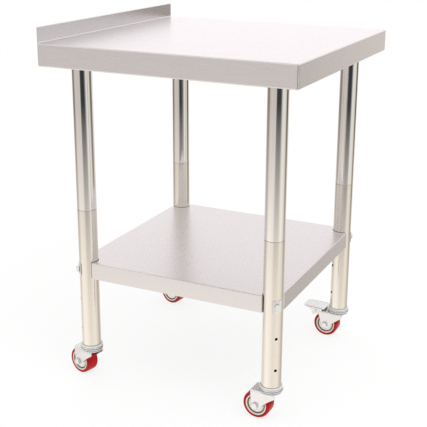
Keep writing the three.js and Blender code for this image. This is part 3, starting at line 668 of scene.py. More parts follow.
for corner, (side, end) in CORNERS.items():
    low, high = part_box("leg_socket_" + corner)
    middle = ((low.x + high.x) / 2, (low.y + high.y) / 2)
    half = (high.x - low.x) / 2
    under_plate = high.z - SOCKET_PLATE
    edge = SOCKET_PLATE / 4
    plate_section = np.array([
        (edge, under_plate), (0, under_plate + edge), (0, high.z - edge), (edge, high.z),
    ])
    plate_low = (middle[0] - half, middle[1] - half)
    plate_high = (middle[0] + half, middle[1] + half)
    plate = swept_round(plate_section, rounded_square(plate_low, plate_high, [SOCKET_PLATE_CORNER] * 4))
    inner = LEG_RADIUS + SOCKET_GAP
    outer = inner + SOCKET_WALL
    cup_section = [(inner, low.z), (outer, low.z), (outer, under_plate + edge), (inner, under_plate + edge)]
    cup = turned(rounded_corners(cup_section, SOCKET_WALL / 5))
    weld_face = arc((outer, under_plate), WELD_RADIUS, -90, 0, 5)
    weld = turned(np.vstack([weld_face, [(outer - edge, under_plate + edge)]]))
    at_leg = (*middle, 0)
    add_piece("socket_" + corner, together(plate, moved(cup, at_leg), moved(weld, at_leg)),
              GALVANISED, "table", ["leg_socket_" + corner])

    low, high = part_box("socket_screw_" + corner)
    radius = (high.z - low.z) / 2
    tip = LEG_RADIUS + SOCKET_GAP
    head = tip + SCREW_LENGTH
    key_radius = radius * 0.5
    screw = turned([
        (key_radius, SCREW_RECESS - head), (key_radius, -head), (radius * 0.8, -head),
        (radius, radius * 0.2 - head), (radius, -tip - radius * 0.3), (radius * 0.7, -tip),
    ], closed=False, sides=24)
    add_piece("set_screw_" + corner, along_diagonal(screw, corner, (low.z + high.z) / 2),
              ZINC, "table", ["socket_screw_" + corner])

# ---- the legs ----
# Each leg is two stainless tubes on a sleeve inside: a polished upper one and a satin lower one.
# The lower tube is drilled right through at three heights, and the shelf is bolted at the top one.

LEG_WALL = 0.0012
TUBE_EDGE = 0.0008  # how far the tubes' ends are rolled in
HOLE_RADIUS = 0.0035
JOINER_WALL = 0.0015
SLEEVE_GAP = 0.0005  # between a tube and what slides into it
HOLE_CELL = 2 * math.pi * LEG_RADIUS / SIDES  # a square of the wall's grid
HOLE_CELLS = 2  # from a hole's middle to its edge
PATCH_CELLS = 4  # and to where the grid is plain again


def tube_with_holes(bottom, top, heights):
    """A leg tube as a grid of angle and height. Round each hole the grid's squares are drawn into rings:
    distance from the hole's middle is blended from the hole's radius at the inner square to the plain
    grid at the outer square. The cells inside are left out, and the two walls are joined round the rim."""
    rows = [bottom, bottom + TUBE_EDGE * 0.3, bottom + TUBE_EDGE]
    for height in heights:
        rows += [height + k * HOLE_CELL for k in range(-PATCH_CELLS, PATCH_CELLS + 1)]
    rows += [top - TUBE_EDGE, top - TUBE_EDGE * 0.3, top]
    rows = np.array(rows)
    from_end = np.minimum(rows - bottom, top - rows)
    rolled = TUBE_EDGE - np.sqrt(np.maximum(TUBE_EDGE**2 - np.maximum(TUBE_EDGE - from_end, 0) ** 2, 0))
    inner = LEG_RADIUS - LEG_WALL
    radii = np.concatenate([LEG_RADIUS - rolled, np.full(len(rows), inner)])
    levels = np.concatenate([rows, rows[::-1]])
    count = len(levels)
    angles = np.linspace(0, 2 * np.pi, SIDES, endpoint=False)
    across = np.broadcast_to(angles * LEG_RADIUS, (count, SIDES)).copy()
    up = np.broadcast_to(levels[:, None], (count, SIDES)).copy()
    grid = np.arange(count * SIDES).reshape(count, SIDES)
    gone = np.zeros((count, SIDES), bool)
    rims = []
    around = 2 * np.pi * LEG_RADIUS
    for height in heights:
        for heading in (0, np.pi):
            du = (across - heading * LEG_RADIUS + around / 2) % around - around / 2
            dv = up - height
            square = np.maximum(np.abs(du), np.abs(dv)) / HOLE_CELL
            plain = np.maximum(np.hypot(du, dv), 1e-9)
            share = np.clip((square - HOLE_CELLS) / (PATCH_CELLS - HOLE_CELLS), 0, 1)
            drawn = (1 - share) * HOLE_RADIUS * square / HOLE_CELLS + share * plain
            patch = square < PATCH_CELLS + 0.01
            across = np.where(patch, across + du * (drawn / plain - 1), across)
            up = np.where(patch, up + dv * (drawn / plain - 1), up)
            for half_rows in (slice(0, count // 2), slice(count // 2, count)):
                on_rim = np.abs(square - HOLE_CELLS) < 0.01
                mask = np.zeros_like(on_rim)
                mask[half_rows] = on_rim[half_rows]
                order = np.argsort(np.arctan2(dv[mask], du[mask]))
                rims.append(grid[mask][order])
            gone |= square < HOLE_CELLS - 0.5
    turn = across / LEG_RADIUS
    points = np.stack([radii[:, None] * np.cos(turn), radii[:, None] * np.sin(turn), up], -1)
    following = (np.arange(count) + 1) % count
    beside = (np.arange(SIDES) + 1) % SIDES
    corners = np.stack([grid, grid[:, beside], grid[following][:, beside], grid[following]], -1)
    touches = gone | gone[:, beside] | gone[following][:, beside] | gone[following]
    kept = corners[~touches].reshape(-1, 4).tolist()
    for first, second in zip(rims[0::2], rims[1::2]):
        kept += np.stack([first, np.roll(first, -1), np.roll(second, -1), second], -1).tolist()
    used = np.unique(np.array(kept))
    renumbered = np.zeros(count * SIDES, int)
    renumbered[used] = np.arange(len(used))
    return points.reshape(-1, 3)[used], renumbered[np.array(kept)].tolist()


def polished_tube():
    """Mirror-polished stainless tube, with the faint lengthwise lines that drawing leaves, and painted shade
    that turns its grooves, holes and inner corners nearly black.
    """
    finish, tree, surface = new_finish("polished_tube", metallic=1.0)
    place = node(tree, "TexCoord").outputs["Object"]
    drawn = node(tree, "VectorMath", {0: place, 1: (420.0, 420.0, 6.0)}, operation="MULTIPLY").outputs[0]
    lines = noise(tree, drawn, 1.0, 2.0)
    worn = placed_group(tree, EDGE_WEAR, Width=0.0008, Amount=0.5)["Worn"]
    # Painted shade: the corner mask darkens the colour in grooves, holes and inner corners, such as the seam
    # between the tubes, almost to black.
    painted_shade = placed_group(tree, PAINTED_CORNER_SHADE, Reach=0.0025, Amount=0.95)["Grime"]
    steel = ramp(tree, lines, [(0.3, (0.70, 0.685, 0.665)), (0.7, (0.745, 0.735, 0.715))])
    connect(tree, surface,
            Base_Color=mixed(tree, painted_shade, mixed(tree, worn, steel, (0.9, 0.89, 0.87)), (0.05, 0.045, 0.04)),
            Roughness=rescaled(tree, lines, 0.3, 0.7, 0.04, 0.06),
            Normal=bumped(tree, lines, 0.01, 0.0001))
    return finish


def satin_tube():
    """Satin-ground stainless tube, with fine rings round it from the grinding belt, and painted shade that
    turns its grooves, holes and inner corners nearly black.
    """
    finish, tree, surface = new_finish("satin_tube", metallic=1.0)
    place = node(tree, "TexCoord").outputs["Object"]
    ground = node(tree, "VectorMath", {0: place, 1: (25.0, 25.0, 700.0)}, operation="MULTIPLY").outputs[0]
    rings = noise(tree, ground, 1.0, 3.0)
    worn = placed_group(tree, EDGE_WEAR, Width=0.0008, Amount=0.5)["Worn"]
    # Painted shade: the corner mask darkens the colour in grooves, holes and inner corners, such as the seam
    # between the tubes, almost to black.
    painted_shade = placed_group(tree, PAINTED_CORNER_SHADE, Reach=0.0025, Amount=0.95)["Grime"]
    steel = ramp(tree, rings, [(0.3, (0.665, 0.635, 0.590)), (0.7, (0.690, 0.660, 0.615))])
    connect(tree, surface,
            Base_Color=mixed(tree, painted_shade, mixed(tree, worn, steel, (0.82, 0.80, 0.76)), (0.05, 0.045, 0.04)),
            Roughness=rescaled(tree, rings, 0.3, 0.7, 0.13, 0.17),
            Normal=bumped(tree, rings, 0.015, 0.0001))
    return finish


POLISHED = polished_tube()
SATIN = satin_tube()

bolt_low, bolt_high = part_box("shelf_bolt_back_right")
BOLT_HEIGHT = (bolt_low.z + bolt_high.z) / 2
HOLE_PITCH = 0.075
HOLE_HEIGHTS = [BOLT_HEIGHT - 2 * HOLE_PITCH, BOLT_HEIGHT - HOLE_PITCH, BOLT_HEIGHT]

for corner, (side, end) in CORNERS.items():
    at_leg = (side * LEG_X, end * LEG_Y, 0)
    low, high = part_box("upper_leg_" + corner)
    add_piece("polished_leg_" + corner, moved(tube_with_holes(low.z, high.z, []), at_leg),
              POLISHED, "table", ["upper_leg_" + corner])

    low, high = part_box("lower_leg_" + corner)
    points, faces = tube_with_holes(low.z, high.z, HOLE_HEIGHTS)
    heading = math.atan2(end, side)
    cosine, sine = math.cos(heading), math.sin(heading)
    turned_points = np.stack([
        points[:, 0] * cosine - points[:, 1] * sine,
        points[:, 0] * sine + points[:, 1] * cosine,
        points[:, 2],
    ], -1)
    add_piece("satin_leg_" + corner, moved((turned_points, faces), at_leg),
              SATIN, "table", ["lower_leg_" + corner])

    low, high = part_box("leg_joiner_" + corner)
    outer = LEG_RADIUS - LEG_WALL - SLEEVE_GAP
    sleeve = [(outer - JOINER_WALL, low.z), (outer, low.z), (outer, high.z), (outer - JOINER_WALL, high.z)]
    add_piece("joining_sleeve_" + corner, moved(turned(rounded_corners(sleeve, JOINER_WALL / 2)), at_leg),
              GALVANISED, "table", ["leg_joiner_" + corner])

# ---- the shelf's bolts ----
# A hexagon bolt goes through each leg and the shelf's flange. A curved saddle washer beds its head on
# the round leg, and a nut holds it inside the shelf.

SADDLE_WIDTH = 0.020
SADDLE_HEIGHT = 0.028
SADDLE_THICKNESS = 0.0016
SADDLE_CORNER = 0.0035
SADDLE_GAP = 0.0003
BOLT_RADIUS = 0.003
BOLT_HEAD_WIDTH = 0.013
BOLT_HEAD_HEIGHT = 0.0045
NUT_HEIGHT = 0.005
NUT_WIDTH = 0.010
BOLT_TAIL = 0.009  # past the shelf's flange


def six_sided(profile, width, sides=72):
    """A turned profile of radius and height, held inside a hexagon of the given width across its flats:
    at each angle the radius is the smaller of the profile's and the hexagon's."""
    angles = np.linspace(0, 2 * np.pi, sides, endpoint=False)
    profile = np.asarray(profile, float)
    from_flat = (angles + np.pi / 6) % (np.pi / 3) - np.pi / 6
    radius = np.minimum(profile[:, :1], width / 2 / np.cos(from_flat)[None, :])
    heights = np.broadcast_to(profile[:, 1:], (len(profile), sides))
    return loft(np.stack([radius * np.cos(angles), radius * np.sin(angles), heights], -1))


def saddle(corner):
    """The saddle washer: rings that go from the bolt hole out to a rounded rectangle on the outer face,
    round the edge and back on the inner face, wrapped round the leg's axis."""
    corners = [(SADDLE_HEIGHT / 2, -SADDLE_WIDTH / 2), (SADDLE_HEIGHT / 2, SADDLE_WIDTH / 2),
               (-SADDLE_HEIGHT / 2, SADDLE_WIDTH / 2), (-SADDLE_HEIGHT / 2, -SADDLE_WIDTH / 2)]
    outline = rounded_corners(corners, SADDLE_CORNER, 11)
    angles = np.arctan2(outline[:, 1], outline[:, 0])
    hole = HOLE_RADIUS * np.stack([np.cos(angles), np.sin(angles)], -1)
    edge = SADDLE_THICKNESS / 3
    steps = [(0, 0), (0, SADDLE_THICKNESS), (0.5, SADDLE_THICKNESS), (0.94, SADDLE_THICKNESS),
             (1.0, SADDLE_THICKNESS - edge), (1.0, edge), (0.97, 0), (0.5, 0)]
    share = np.array([s for s, _ in steps])[:, None, None]
    depth = np.array([d for _, d in steps])[:, None]
    flat = hole + (outline - hole) * share
    radius = LEG_RADIUS + SADDLE_GAP + depth
    turn = flat[:, :, 1] / LEG_RADIUS
    side, end = CORNERS[corner]
    heading = math.atan2(end, side)
    x = side * LEG_X + radius * np.cos(turn + heading)
    y = end * LEG_Y + radius * np.sin(turn + heading)
    return loft(np.stack([x, y, BOLT_HEIGHT + flat[:, :, 0]], -1), closed=True)


seat = LEG_RADIUS + SADDLE_THICKNESS + 2 * SADDLE_GAP
tail = LEG_RADIUS + NOTCH_GAP + SHELF_SHEET + BOLT_TAIL
across = BOLT_HEAD_WIDTH
bolt_profile = [
    (BOLT_RADIUS * 0.7, -tail), (BOLT_RADIUS, -tail + BOLT_RADIUS * 0.3), (BOLT_RADIUS, seat),
    (across * 0.49, seat), (across * 0.5, seat + 0.0002), (across, seat + 0.0004),
    (across, seat + BOLT_HEAD_HEIGHT - 0.0012), (across * 0.53, seat + BOLT_HEAD_HEIGHT - 0.0005),
    (across * 0.47, seat + BOLT_HEAD_HEIGHT),
]
nut_from = -LEG_RADIUS - NOTCH_GAP - SHELF_SHEET - 0.0002
nut_to = nut_from - NUT_HEIGHT
nut_profile = [
    (BOLT_RADIUS, nut_from), (NUT_WIDTH * 0.47, nut_from), (NUT_WIDTH * 0.53, nut_from - 0.0007),
    (NUT_WIDTH, nut_from - 0.0012), (NUT_WIDTH, nut_to + 0.0012), (NUT_WIDTH * 0.53, nut_to + 0.0007),
    (NUT_WIDTH * 0.47, nut_to), (BOLT_RADIUS, nut_to),
]
hex_bolt = six_sided(bolt_profile, BOLT_HEAD_WIDTH)
hex_nut = six_sided(nut_profile, NUT_WIDTH)
for corner in CORNERS:
    add_piece("saddle_" + corner, saddle(corner), ZINC, "table", ["saddle_washer_" + corner])
    add_piece("hex_bolt_" + corner, along_diagonal(hex_bolt, corner, BOLT_HEIGHT),
              ZINC, "table", ["shelf_bolt_" + corner], sharp=25)
    add_piece("hex_nut_" + corner, along_diagonal(hex_nut, corner, BOLT_HEIGHT),
              ZINC, "table", sharp=25)

# ---- the plugs in the legs' feet ----
# Grey moulded plastic. A rounded flange closes each leg, and a ribbed sleeve grips inside it.


def moulded_grey():
    """Grey moulded plastic with a fine matt texture, dusty where it looks up."""
    finish, tree, surface = new_finish("moulded_grey")
    place = node(tree, "TexCoord").outputs["Object"]
    texture = noise(tree, place, 1400.0, 2.0)
    clouds = noise(tree, place, 60.0, 3.0)
    dust = placed_group(tree, SETTLED_DUST, Amount=0.3, Patch_Size=60)["Dust"]
    grey = ramp(tree, clouds, [(0.3, (0.66, 0.67, 0.66)), (0.7, (0.74, 0.75, 0.74))])
    connect(tree, surface,
            Base_Color=mixed(tree, dust, grey, (0.66, 0.64, 0.60)),
            Roughness=rescaled(tree, clouds, 0.3, 0.7, 0.30, 0.42),
            Normal=bumped(tree, texture, 0.12, 0.0002))
    return finish


MOULDED_GREY = moulded_grey()
PLUG_FLANGE_HEIGHT = 0.0037
PLUG_EDGE = 0.0012
STEM_BORE = 0.0063
RIB_PITCH = 0.004
RIB_DEPTH = 0.0004

swivels = {}
for corner in CORNERS:
    plug_low, plug_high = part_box("leg_plug_" + corner)
    tyre_low, tyre_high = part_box("tyre_" + corner)
    stand = (plug_low + plug_high) / 2
    wheel = (tyre_low + tyre_high) / 2
    swivels[corner] = (stand, wheel, math.atan2(wheel.y - stand.y, wheel.x - stand.x))


def at_caster(shell, corner):
    """A shell drawn with the swivel axis on Z and the wheel trailing along X, put under its leg and
    turned the way its caster stands."""
    stand, _, turn_angle = swivels[corner]
    x, y, z = shell[0].T
    cosine, sine = math.cos(turn_angle), math.sin(turn_angle)
    return np.stack([stand.x + x * cosine - y * sine, stand.y + x * sine + y * cosine, z], -1), shell[1]


for corner in CORNERS:
    low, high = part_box("leg_plug_" + corner)
    flange = (high.x - low.x) / 2
    flange_top = low.z + PLUG_FLANGE_HEIGHT
    sleeve = LEG_RADIUS - LEG_WALL - SLEEVE_GAP
    rib_levels = np.arange(flange_top + 0.002, high.z - 0.001, RIB_PITCH / 4)
    waves = np.cos((rib_levels - flange_top) / RIB_PITCH * 2 * np.pi)
    rib_radii = sleeve - RIB_DEPTH / 2 + RIB_DEPTH / 2 * waves
    profile = np.vstack([
        [(STEM_BORE, low.z), (flange - PLUG_EDGE / 2, low.z), (flange, low.z + PLUG_EDGE / 2)],
        arc((flange - PLUG_EDGE, flange_top - PLUG_EDGE), PLUG_EDGE, 0, 90, 5),
        [(sleeve, flange_top)], np.stack([rib_radii, rib_levels], -1),
        [(sleeve - 0.001, high.z), (STEM_BORE, high.z)],
    ])
    add_piece("foot_plug_" + corner, at_caster(turned(profile), corner),
              MOULDED_GREY, "table", ["leg_plug_" + corner])

# ---- the swivels' stems and ball races ----
# Pressed and plated steel. The race is two dished cups with a groove between them where the balls run,
# and the kingpin's riveted head shows under the fork's crown.

RACE_HEIGHT = 0.0095
RACE_CHAMFER_IN = 0.004
RACE_CHAMFER_UP = 0.003
RACE_GROOVE_RISE = 0.0059
RACE_GROOVE_DEPTH = 0.003
RACE_GROOVE_HALF = 0.0012
RACE_UPPER_INSET = 0.0015
RACE_ROUND = 0.0009
KINGPIN_RADIUS = 0.005
KINGPIN_HEAD = 0.008
KINGPIN_HEAD_HEIGHT = 0.0035
STEM_RADIUS = 0.006

for corner in CORNERS:
    low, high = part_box("caster_stem_" + corner)
    flange_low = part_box("leg_plug_" + corner)[0].z
    race_top = flange_low - 0.0003
    race_low = race_top - RACE_HEIGHT
    outer = (high.x - low.x) / 2
    groove = race_low + RACE_GROOVE_RISE
    groove_low, groove_high = groove - RACE_GROOVE_HALF, groove + RACE_GROOVE_HALF
    groove_floor = outer - RACE_GROOVE_DEPTH
    upper = outer - RACE_UPPER_INSET
    head_low = low.z
    profile = np.vstack([
        [(KINGPIN_HEAD * 0.6, head_low), (KINGPIN_HEAD * 0.9, head_low + 0.0008),
         (KINGPIN_HEAD, head_low + 0.0020), (KINGPIN_HEAD, head_low + KINGPIN_HEAD_HEIGHT),
         (KINGPIN_RADIUS, head_low + KINGPIN_HEAD_HEIGHT)],
        [(KINGPIN_RADIUS, race_low), (outer - RACE_CHAMFER_IN, race_low),
         (outer - RACE_ROUND, race_low + RACE_CHAMFER_UP - RACE_ROUND / 2)],
        arc((outer - RACE_ROUND, groove_low - RACE_ROUND), RACE_ROUND, 0, 90, 4),
        [(groove_floor, groove_low), (groove_floor, groove_high)],
        [(upper - RACE_ROUND / 2, groove_high), (upper, groove_high + RACE_ROUND / 2)],
        arc((upper - RACE_ROUND, race_top - RACE_ROUND), RACE_ROUND, 0, 90, 4),
        [(STEM_RADIUS, race_top), (STEM_RADIUS, high.z - 0.001), (STEM_RADIUS - 0.001, high.z)],
    ])
    add_piece("ball_race_" + corner, at_caster(turned(profile, closed=False), corner),
              ZINC, "table", ["caster_stem_" + corner])

# ---- the casters' forks ----
# One blank of plated steel, pressed into a crown with two sides that taper to a boss at the axle.
# The braked ones have an ear on each side for the pedal's pin. Kingpin and pins have no hole cut for them.

FORK_SHEET = 0.0025
FORK_BEND = 0.0045
FORK_FRONT = 0.0174
FORK_NOSE_DEPTH = 0.011
FORK_HOLLOW_AHEAD = 0.021
FORK_SIDE_BELOW = 0.006
CROWN_PAST_AXLE = 0.012
CROWN_RADIUS = 0.025
BOSS_RADIUS = 0.0095
BOSS_BORE = 0.0050
BOSS_RING_FOOT = 0.0086
BOSS_RING_FACE = 0.0078
BOSS_FROM = 216  # degrees round the boss, from the hollow front edge to the rear edge
BOSS_TO = 355
FORK_INNER = 0.0175
FORK_OUTER = FORK_INNER + FORK_SHEET
EAR_RADIUS = 0.006
PIVOT_PAST_AXLE = 0.025
PIN_RADIUS = 0.0024

_, a_wheel, _ = swivels["front_left"]
TRAIL = (swivels["front_left"][1] - swivels["front_left"][0]).to_2d().length
AXLE_HEIGHT = a_wheel.z
CROWN_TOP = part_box("caster_fork_front_left")[1].z
CROWN_BOTTOM = CROWN_TOP - FORK_SHEET
PIVOT_ALONG = TRAIL + PIVOT_PAST_AXLE
PIVOT_HEIGHT = CROWN_TOP - FORK_SHEET / 2
CROWN_REAR = TRAIL + CROWN_PAST_AXLE


def hollow_curve(start, pull, end, steps):
    """Points on a quadratic curve that leaves the start towards the pull point and comes in to the end."""
    share = np.linspace(0, 1, steps)[:, None]
    start, pull, end = (np.array(p, float) for p in (start, pull, end))
    return (1 - share) ** 2 * start + 2 * share * (1 - share) * pull + share**2 * end


def fork_side_outline(braked):
    """The flat part of a fork's side, from the bend below the crown: down the nose, back along a hollow
    curve to the boss, round it and up the rear edge, with an ear for the pin on a braked fork."""
    boss = arc((TRAIL, AXLE_HEIGHT), BOSS_RADIUS, BOSS_FROM, BOSS_TO, 22)
    shoulder = CROWN_TOP - FORK_BEND
    front = hollow_curve((-FORK_FRONT, CROWN_TOP - FORK_NOSE_DEPTH),
                         (TRAIL - FORK_HOLLOW_AHEAD, AXLE_HEIGHT + BOSS_RADIUS), boss[0], 16)
    if braked:
        rear = PIVOT_ALONG - EAR_RADIUS
        back = np.vstack([
            [(rear, CROWN_BOTTOM - FORK_SIDE_BELOW)],
            arc((PIVOT_ALONG, PIVOT_HEIGHT), EAR_RADIUS, -90, 90, 14),
            [(rear, PIVOT_HEIGHT + EAR_RADIUS), (CROWN_REAR, CROWN_TOP), (CROWN_REAR - 0.001, shoulder)],
        ])
    else:
        back = np.array([(CROWN_REAR, CROWN_BOTTOM - FORK_SIDE_BELOW), (CROWN_REAR, shoulder)])
    return np.vstack([[(-FORK_FRONT, shoulder)], front, boss[1:], back])


def bent_crown():
    """The crown's channel across the fork: flat on top, and bent down at both sides to the shoulders."""
    shoulder = CROWN_TOP - FORK_BEND
    inner = FORK_BEND - FORK_SHEET
    flat = FORK_OUTER - FORK_BEND
    section = np.vstack([
        arc((flat, shoulder), FORK_BEND, 0, 90, 8), arc((-flat, shoulder), FORK_BEND, 90, 180, 8),
        arc((-flat, shoulder), inner, 180, 90, 8), arc((flat, shoulder), inner, 90, 0, 8),
    ])
    return prism(section, -FORK_FRONT, CROWN_REAR, 0)


def upright(outline, start, end):
    """An outline of X and Z given a thickness between two places on Y."""
    return prism(outline, start, end, 1)


disc_bore = KINGPIN_RADIUS + 0.0005
crown_disc = turned([
    (disc_bore, CROWN_BOTTOM), (CROWN_RADIUS - 0.0006, CROWN_BOTTOM),
    (CROWN_RADIUS, CROWN_BOTTOM + 0.0006), (CROWN_RADIUS, CROWN_TOP - 0.0010),
    (CROWN_RADIUS - 0.0010, CROWN_TOP), (disc_bore, CROWN_TOP),
])
boss_sunk, boss_proud = FORK_OUTER - 0.001, FORK_OUTER + 0.0002
boss_ring = turned([
    (BOSS_BORE, boss_sunk), (BOSS_RING_FOOT, boss_sunk),
    (BOSS_RING_FACE, boss_proud), (BOSS_BORE, boss_proud),
])


def about_axle(shell, along, height, mirror=1):
    """A shell turned about Z, laid so that its axis runs across the fork, at a place along and up."""
    x, y, z = shell[0].T
    return np.stack([along + x, mirror * z, height + y], -1), shell[1]


for corner in CORNERS:
    braked = "brake_pedal_" + corner in frame["nodes"]
    outline = fork_side_outline(braked)
    fork = together(
        upright(outline, FORK_INNER, FORK_OUTER), upright(outline, -FORK_OUTER, -FORK_INNER),
        bent_crown(), crown_disc,
        about_axle(boss_ring, TRAIL, AXLE_HEIGHT), about_axle(boss_ring, TRAIL, AXLE_HEIGHT, -1),
    )
    add_piece("pressed_fork_" + corner, at_caster(fork, corner), ZINC, "caster_" + corner,
              ["caster_fork_" + corner], soften=0.0005)

# ---- the axles ----
# A hexagon bolt through the fork, with a washer under its head and a nut on its tail.

AXLE_RADIUS = 0.004
AXLE_HEAD_WIDTH = 0.013
AXLE_HEAD_HEIGHT = 0.005
AXLE_SEAT = FORK_OUTER + 0.0003
AXLE_TAIL = 0.0065
WASHER_RADIUS = 0.0083

head_top = AXLE_SEAT + AXLE_HEAD_HEIGHT
across = AXLE_HEAD_WIDTH
axle_profile = [
    (AXLE_RADIUS * 0.8, -AXLE_SEAT - AXLE_TAIL), (AXLE_RADIUS, -AXLE_SEAT - AXLE_TAIL + 0.001),
    (AXLE_RADIUS, AXLE_SEAT), (across * 0.49, AXLE_SEAT), (across * 0.5, AXLE_SEAT + 0.0002),
    (across, AXLE_SEAT + 0.0005),
    (across, head_top - 0.0014), (across * 0.53, head_top - 0.0006), (across * 0.46, head_top),
]
axle_nut_profile = [
    (AXLE_RADIUS, -AXLE_SEAT), (across * 0.49, -AXLE_SEAT), (across * 0.53, -AXLE_SEAT - 0.0005),
    (across, -AXLE_SEAT - 0.0012),
    (across, -AXLE_SEAT - 0.0036), (across * 0.53, -AXLE_SEAT - 0.0046), (across * 0.46, -AXLE_SEAT - 0.0052),
    (AXLE_RADIUS, -AXLE_SEAT - 0.0052),
]
washer_profile = rounded_corners([
    (AXLE_RADIUS + 0.0002, FORK_OUTER + 0.0001), (WASHER_RADIUS, FORK_OUTER + 0.0001),
    (WASHER_RADIUS, FORK_OUTER + 0.0013), (AXLE_RADIUS + 0.0002, FORK_OUTER + 0.0013)], 0.0003)
washer = turned(washer_profile, sides=48)
for corner in CORNERS:
    bolt = about_axle(six_sided(axle_profile, AXLE_HEAD_WIDTH), TRAIL, AXLE_HEIGHT)
    add_piece("axle_bolt_" + corner, at_caster(bolt, corner), ZINC, "caster_" + corner,
              ["axle_" + corner], sharp=25)
    nut = about_axle(six_sided(axle_nut_profile, AXLE_HEAD_WIDTH), TRAIL, AXLE_HEIGHT)
    add_piece("axle_nut_" + corner, at_caster(nut, corner), ZINC, "caster_" + corner, sharp=25)
    washers = together(*[about_axle(washer, TRAIL, AXLE_HEIGHT, way) for way in (1, -1)])
    add_piece("axle_washers_" + corner, at_caster(washers, corner), ZINC, "caster_" + corner)

# ---- the wheels' hubs ----
# Off-white moulded spools with a raised rim that holds the tyre, and a deep groove round the bearing.
# A plated cover closes the bearing on each side.


def moulded_cream():
    """Cream moulded plastic, a little glossy, with a thin film of dust where it looks up, and painted shade
    darkening its grooves and inner corners.
    """
    finish, tree, surface = new_finish("moulded_cream")
    place = node(tree, "TexCoord").outputs["Object"]
    clouds = noise(tree, place, 110.0, 3.0)
    texture = noise(tree, place, 1500.0, 2.0)
    dust = placed_group(tree, SETTLED_DUST, Amount=0.3, Patch_Size=90)["Dust"]
    # Painted shade: the corner mask darkens the colour in grooves and inner corners, such as the groove round
    # the bearing, almost to black.
    painted_shade = placed_group(tree, PAINTED_CORNER_SHADE, Reach=0.006, Amount=0.95)["Grime"]
    cream = ramp(tree, clouds, [(0.3, (0.70, 0.67, 0.59)), (0.7, (0.80, 0.77, 0.69))])
    dusty = mixed(tree, dust, cream, (0.55, 0.51, 0.45))
    connect(tree, surface,
            Base_Color=mixed(tree, painted_shade, dusty, (0.10, 0.09, 0.08)),
            Roughness=rescaled(tree, clouds, 0.3, 0.7, 0.32, 0.45),
            Normal=bumped(tree, texture, 0.08, 0.0002))
    return finish


MOULDED_CREAM = moulded_cream()
HUB_BORE = 0.0043
HUB_BOSS = 0.009
HUB_BOSS_END = 0.0170
HUB_RIM = 0.02488
HUB_RIM_WIDTH = 0.0030
HUB_RIM_END = 0.0155
HUB_GROOVE_FLOOR = 0.0095
HUB_GROOVE_INNER = 0.0192
HUB_FACE = 0.0130
COVER_RADIUS = 0.0168
COVER_FACE = 0.0146

rim_inner = HUB_RIM - HUB_RIM_WIDTH
half_hub = np.vstack([
    [(HUB_BORE, HUB_BOSS_END), (HUB_BOSS - 0.0005, HUB_BOSS_END), (HUB_BOSS, HUB_BOSS_END - 0.0005)],
    [(HUB_BOSS, HUB_FACE)], arc((HUB_GROOVE_INNER - 0.0008, HUB_FACE - 0.0008), 0.0008, 90, 0, 4),
    [(HUB_GROOVE_INNER, HUB_GROOVE_FLOOR), (rim_inner - 0.0006, HUB_GROOVE_FLOOR)],
    arc((rim_inner + 0.0008, HUB_RIM_END - 0.0008), 0.0008, 180, 90, 4),
    arc((HUB_RIM - 0.0004, HUB_RIM_END - 0.0004), 0.0004, 90, 0, 3),
])
hub_profile = np.vstack([half_hub, (half_hub * (1, -1))[::-1]])
cover_profile = np.vstack([
    [(HUB_BOSS + 0.0003, HUB_FACE - 0.0004), (COVER_RADIUS, HUB_FACE - 0.0004)],
    arc((COVER_RADIUS - 0.0012, COVER_FACE - 0.0012), 0.0012, 0, 90, 4),
    [(COVER_RADIUS - 0.0030, COVER_FACE), (COVER_RADIUS - 0.0036, COVER_FACE - 0.0006),
     (HUB_BOSS + 0.0014, COVER_FACE - 0.0006), (HUB_BOSS + 0.0003, COVER_FACE)],
])
for corner in CORNERS:
    hub = about_axle(turned(hub_profile), TRAIL, AXLE_HEIGHT)
    add_piece("wheel_spool_" + corner, at_caster(hub, corner), MOULDED_CREAM, "wheel_" + corner,
              ["wheel_hub_" + corner])
    covers = together(*[about_axle(turned(cover_profile), TRAIL, AXLE_HEIGHT, way) for way in (1, -1)])
    add_piece("bearing_covers_" + corner, at_caster(covers, corner), ZINC, "wheel_" + corner)

# ---- the tyres ----
# Red cast polyurethane, glossy, with a nearly flat tread, rounded shoulders and a fine parting line.


def red_polyurethane():
    """Glossy red polyurethane: deep red, slightly darker where it has picked up dirt on the tread."""
    finish, tree, surface = new_finish("red_polyurethane", Specular_IOR_Level=0.15)
    place = node(tree, "TexCoord").outputs["Object"]
    clouds = noise(tree, place, 55.0, 3.0)
    specks = noise(tree, place, 700.0, 3.0)
    dust = placed_group(tree, SETTLED_DUST, Amount=0.12, Patch_Size=70)["Dust"]
    red = ramp(tree, clouds, [(0.3, (0.37, 0.003, 0.005)), (0.7, (0.45, 0.005, 0.008))])
    connect(tree, surface,
            Base_Color=mixed(tree, dust, red, (0.45, 0.30, 0.27)),
            Roughness=rescaled(tree, specks, 0.3, 0.7, 0.12, 0.20),
            Normal=bumped(tree, specks, 0.02, 0.0001))
    return finish


RED = red_polyurethane()
TYRE_INNER = 0.0253
TYRE_EDGE = 0.016
TYRE_SHOULDER = 0.004
TYRE_SHOULDER_WIDTH = 0.0064
TREAD_CROWN = 0.0002

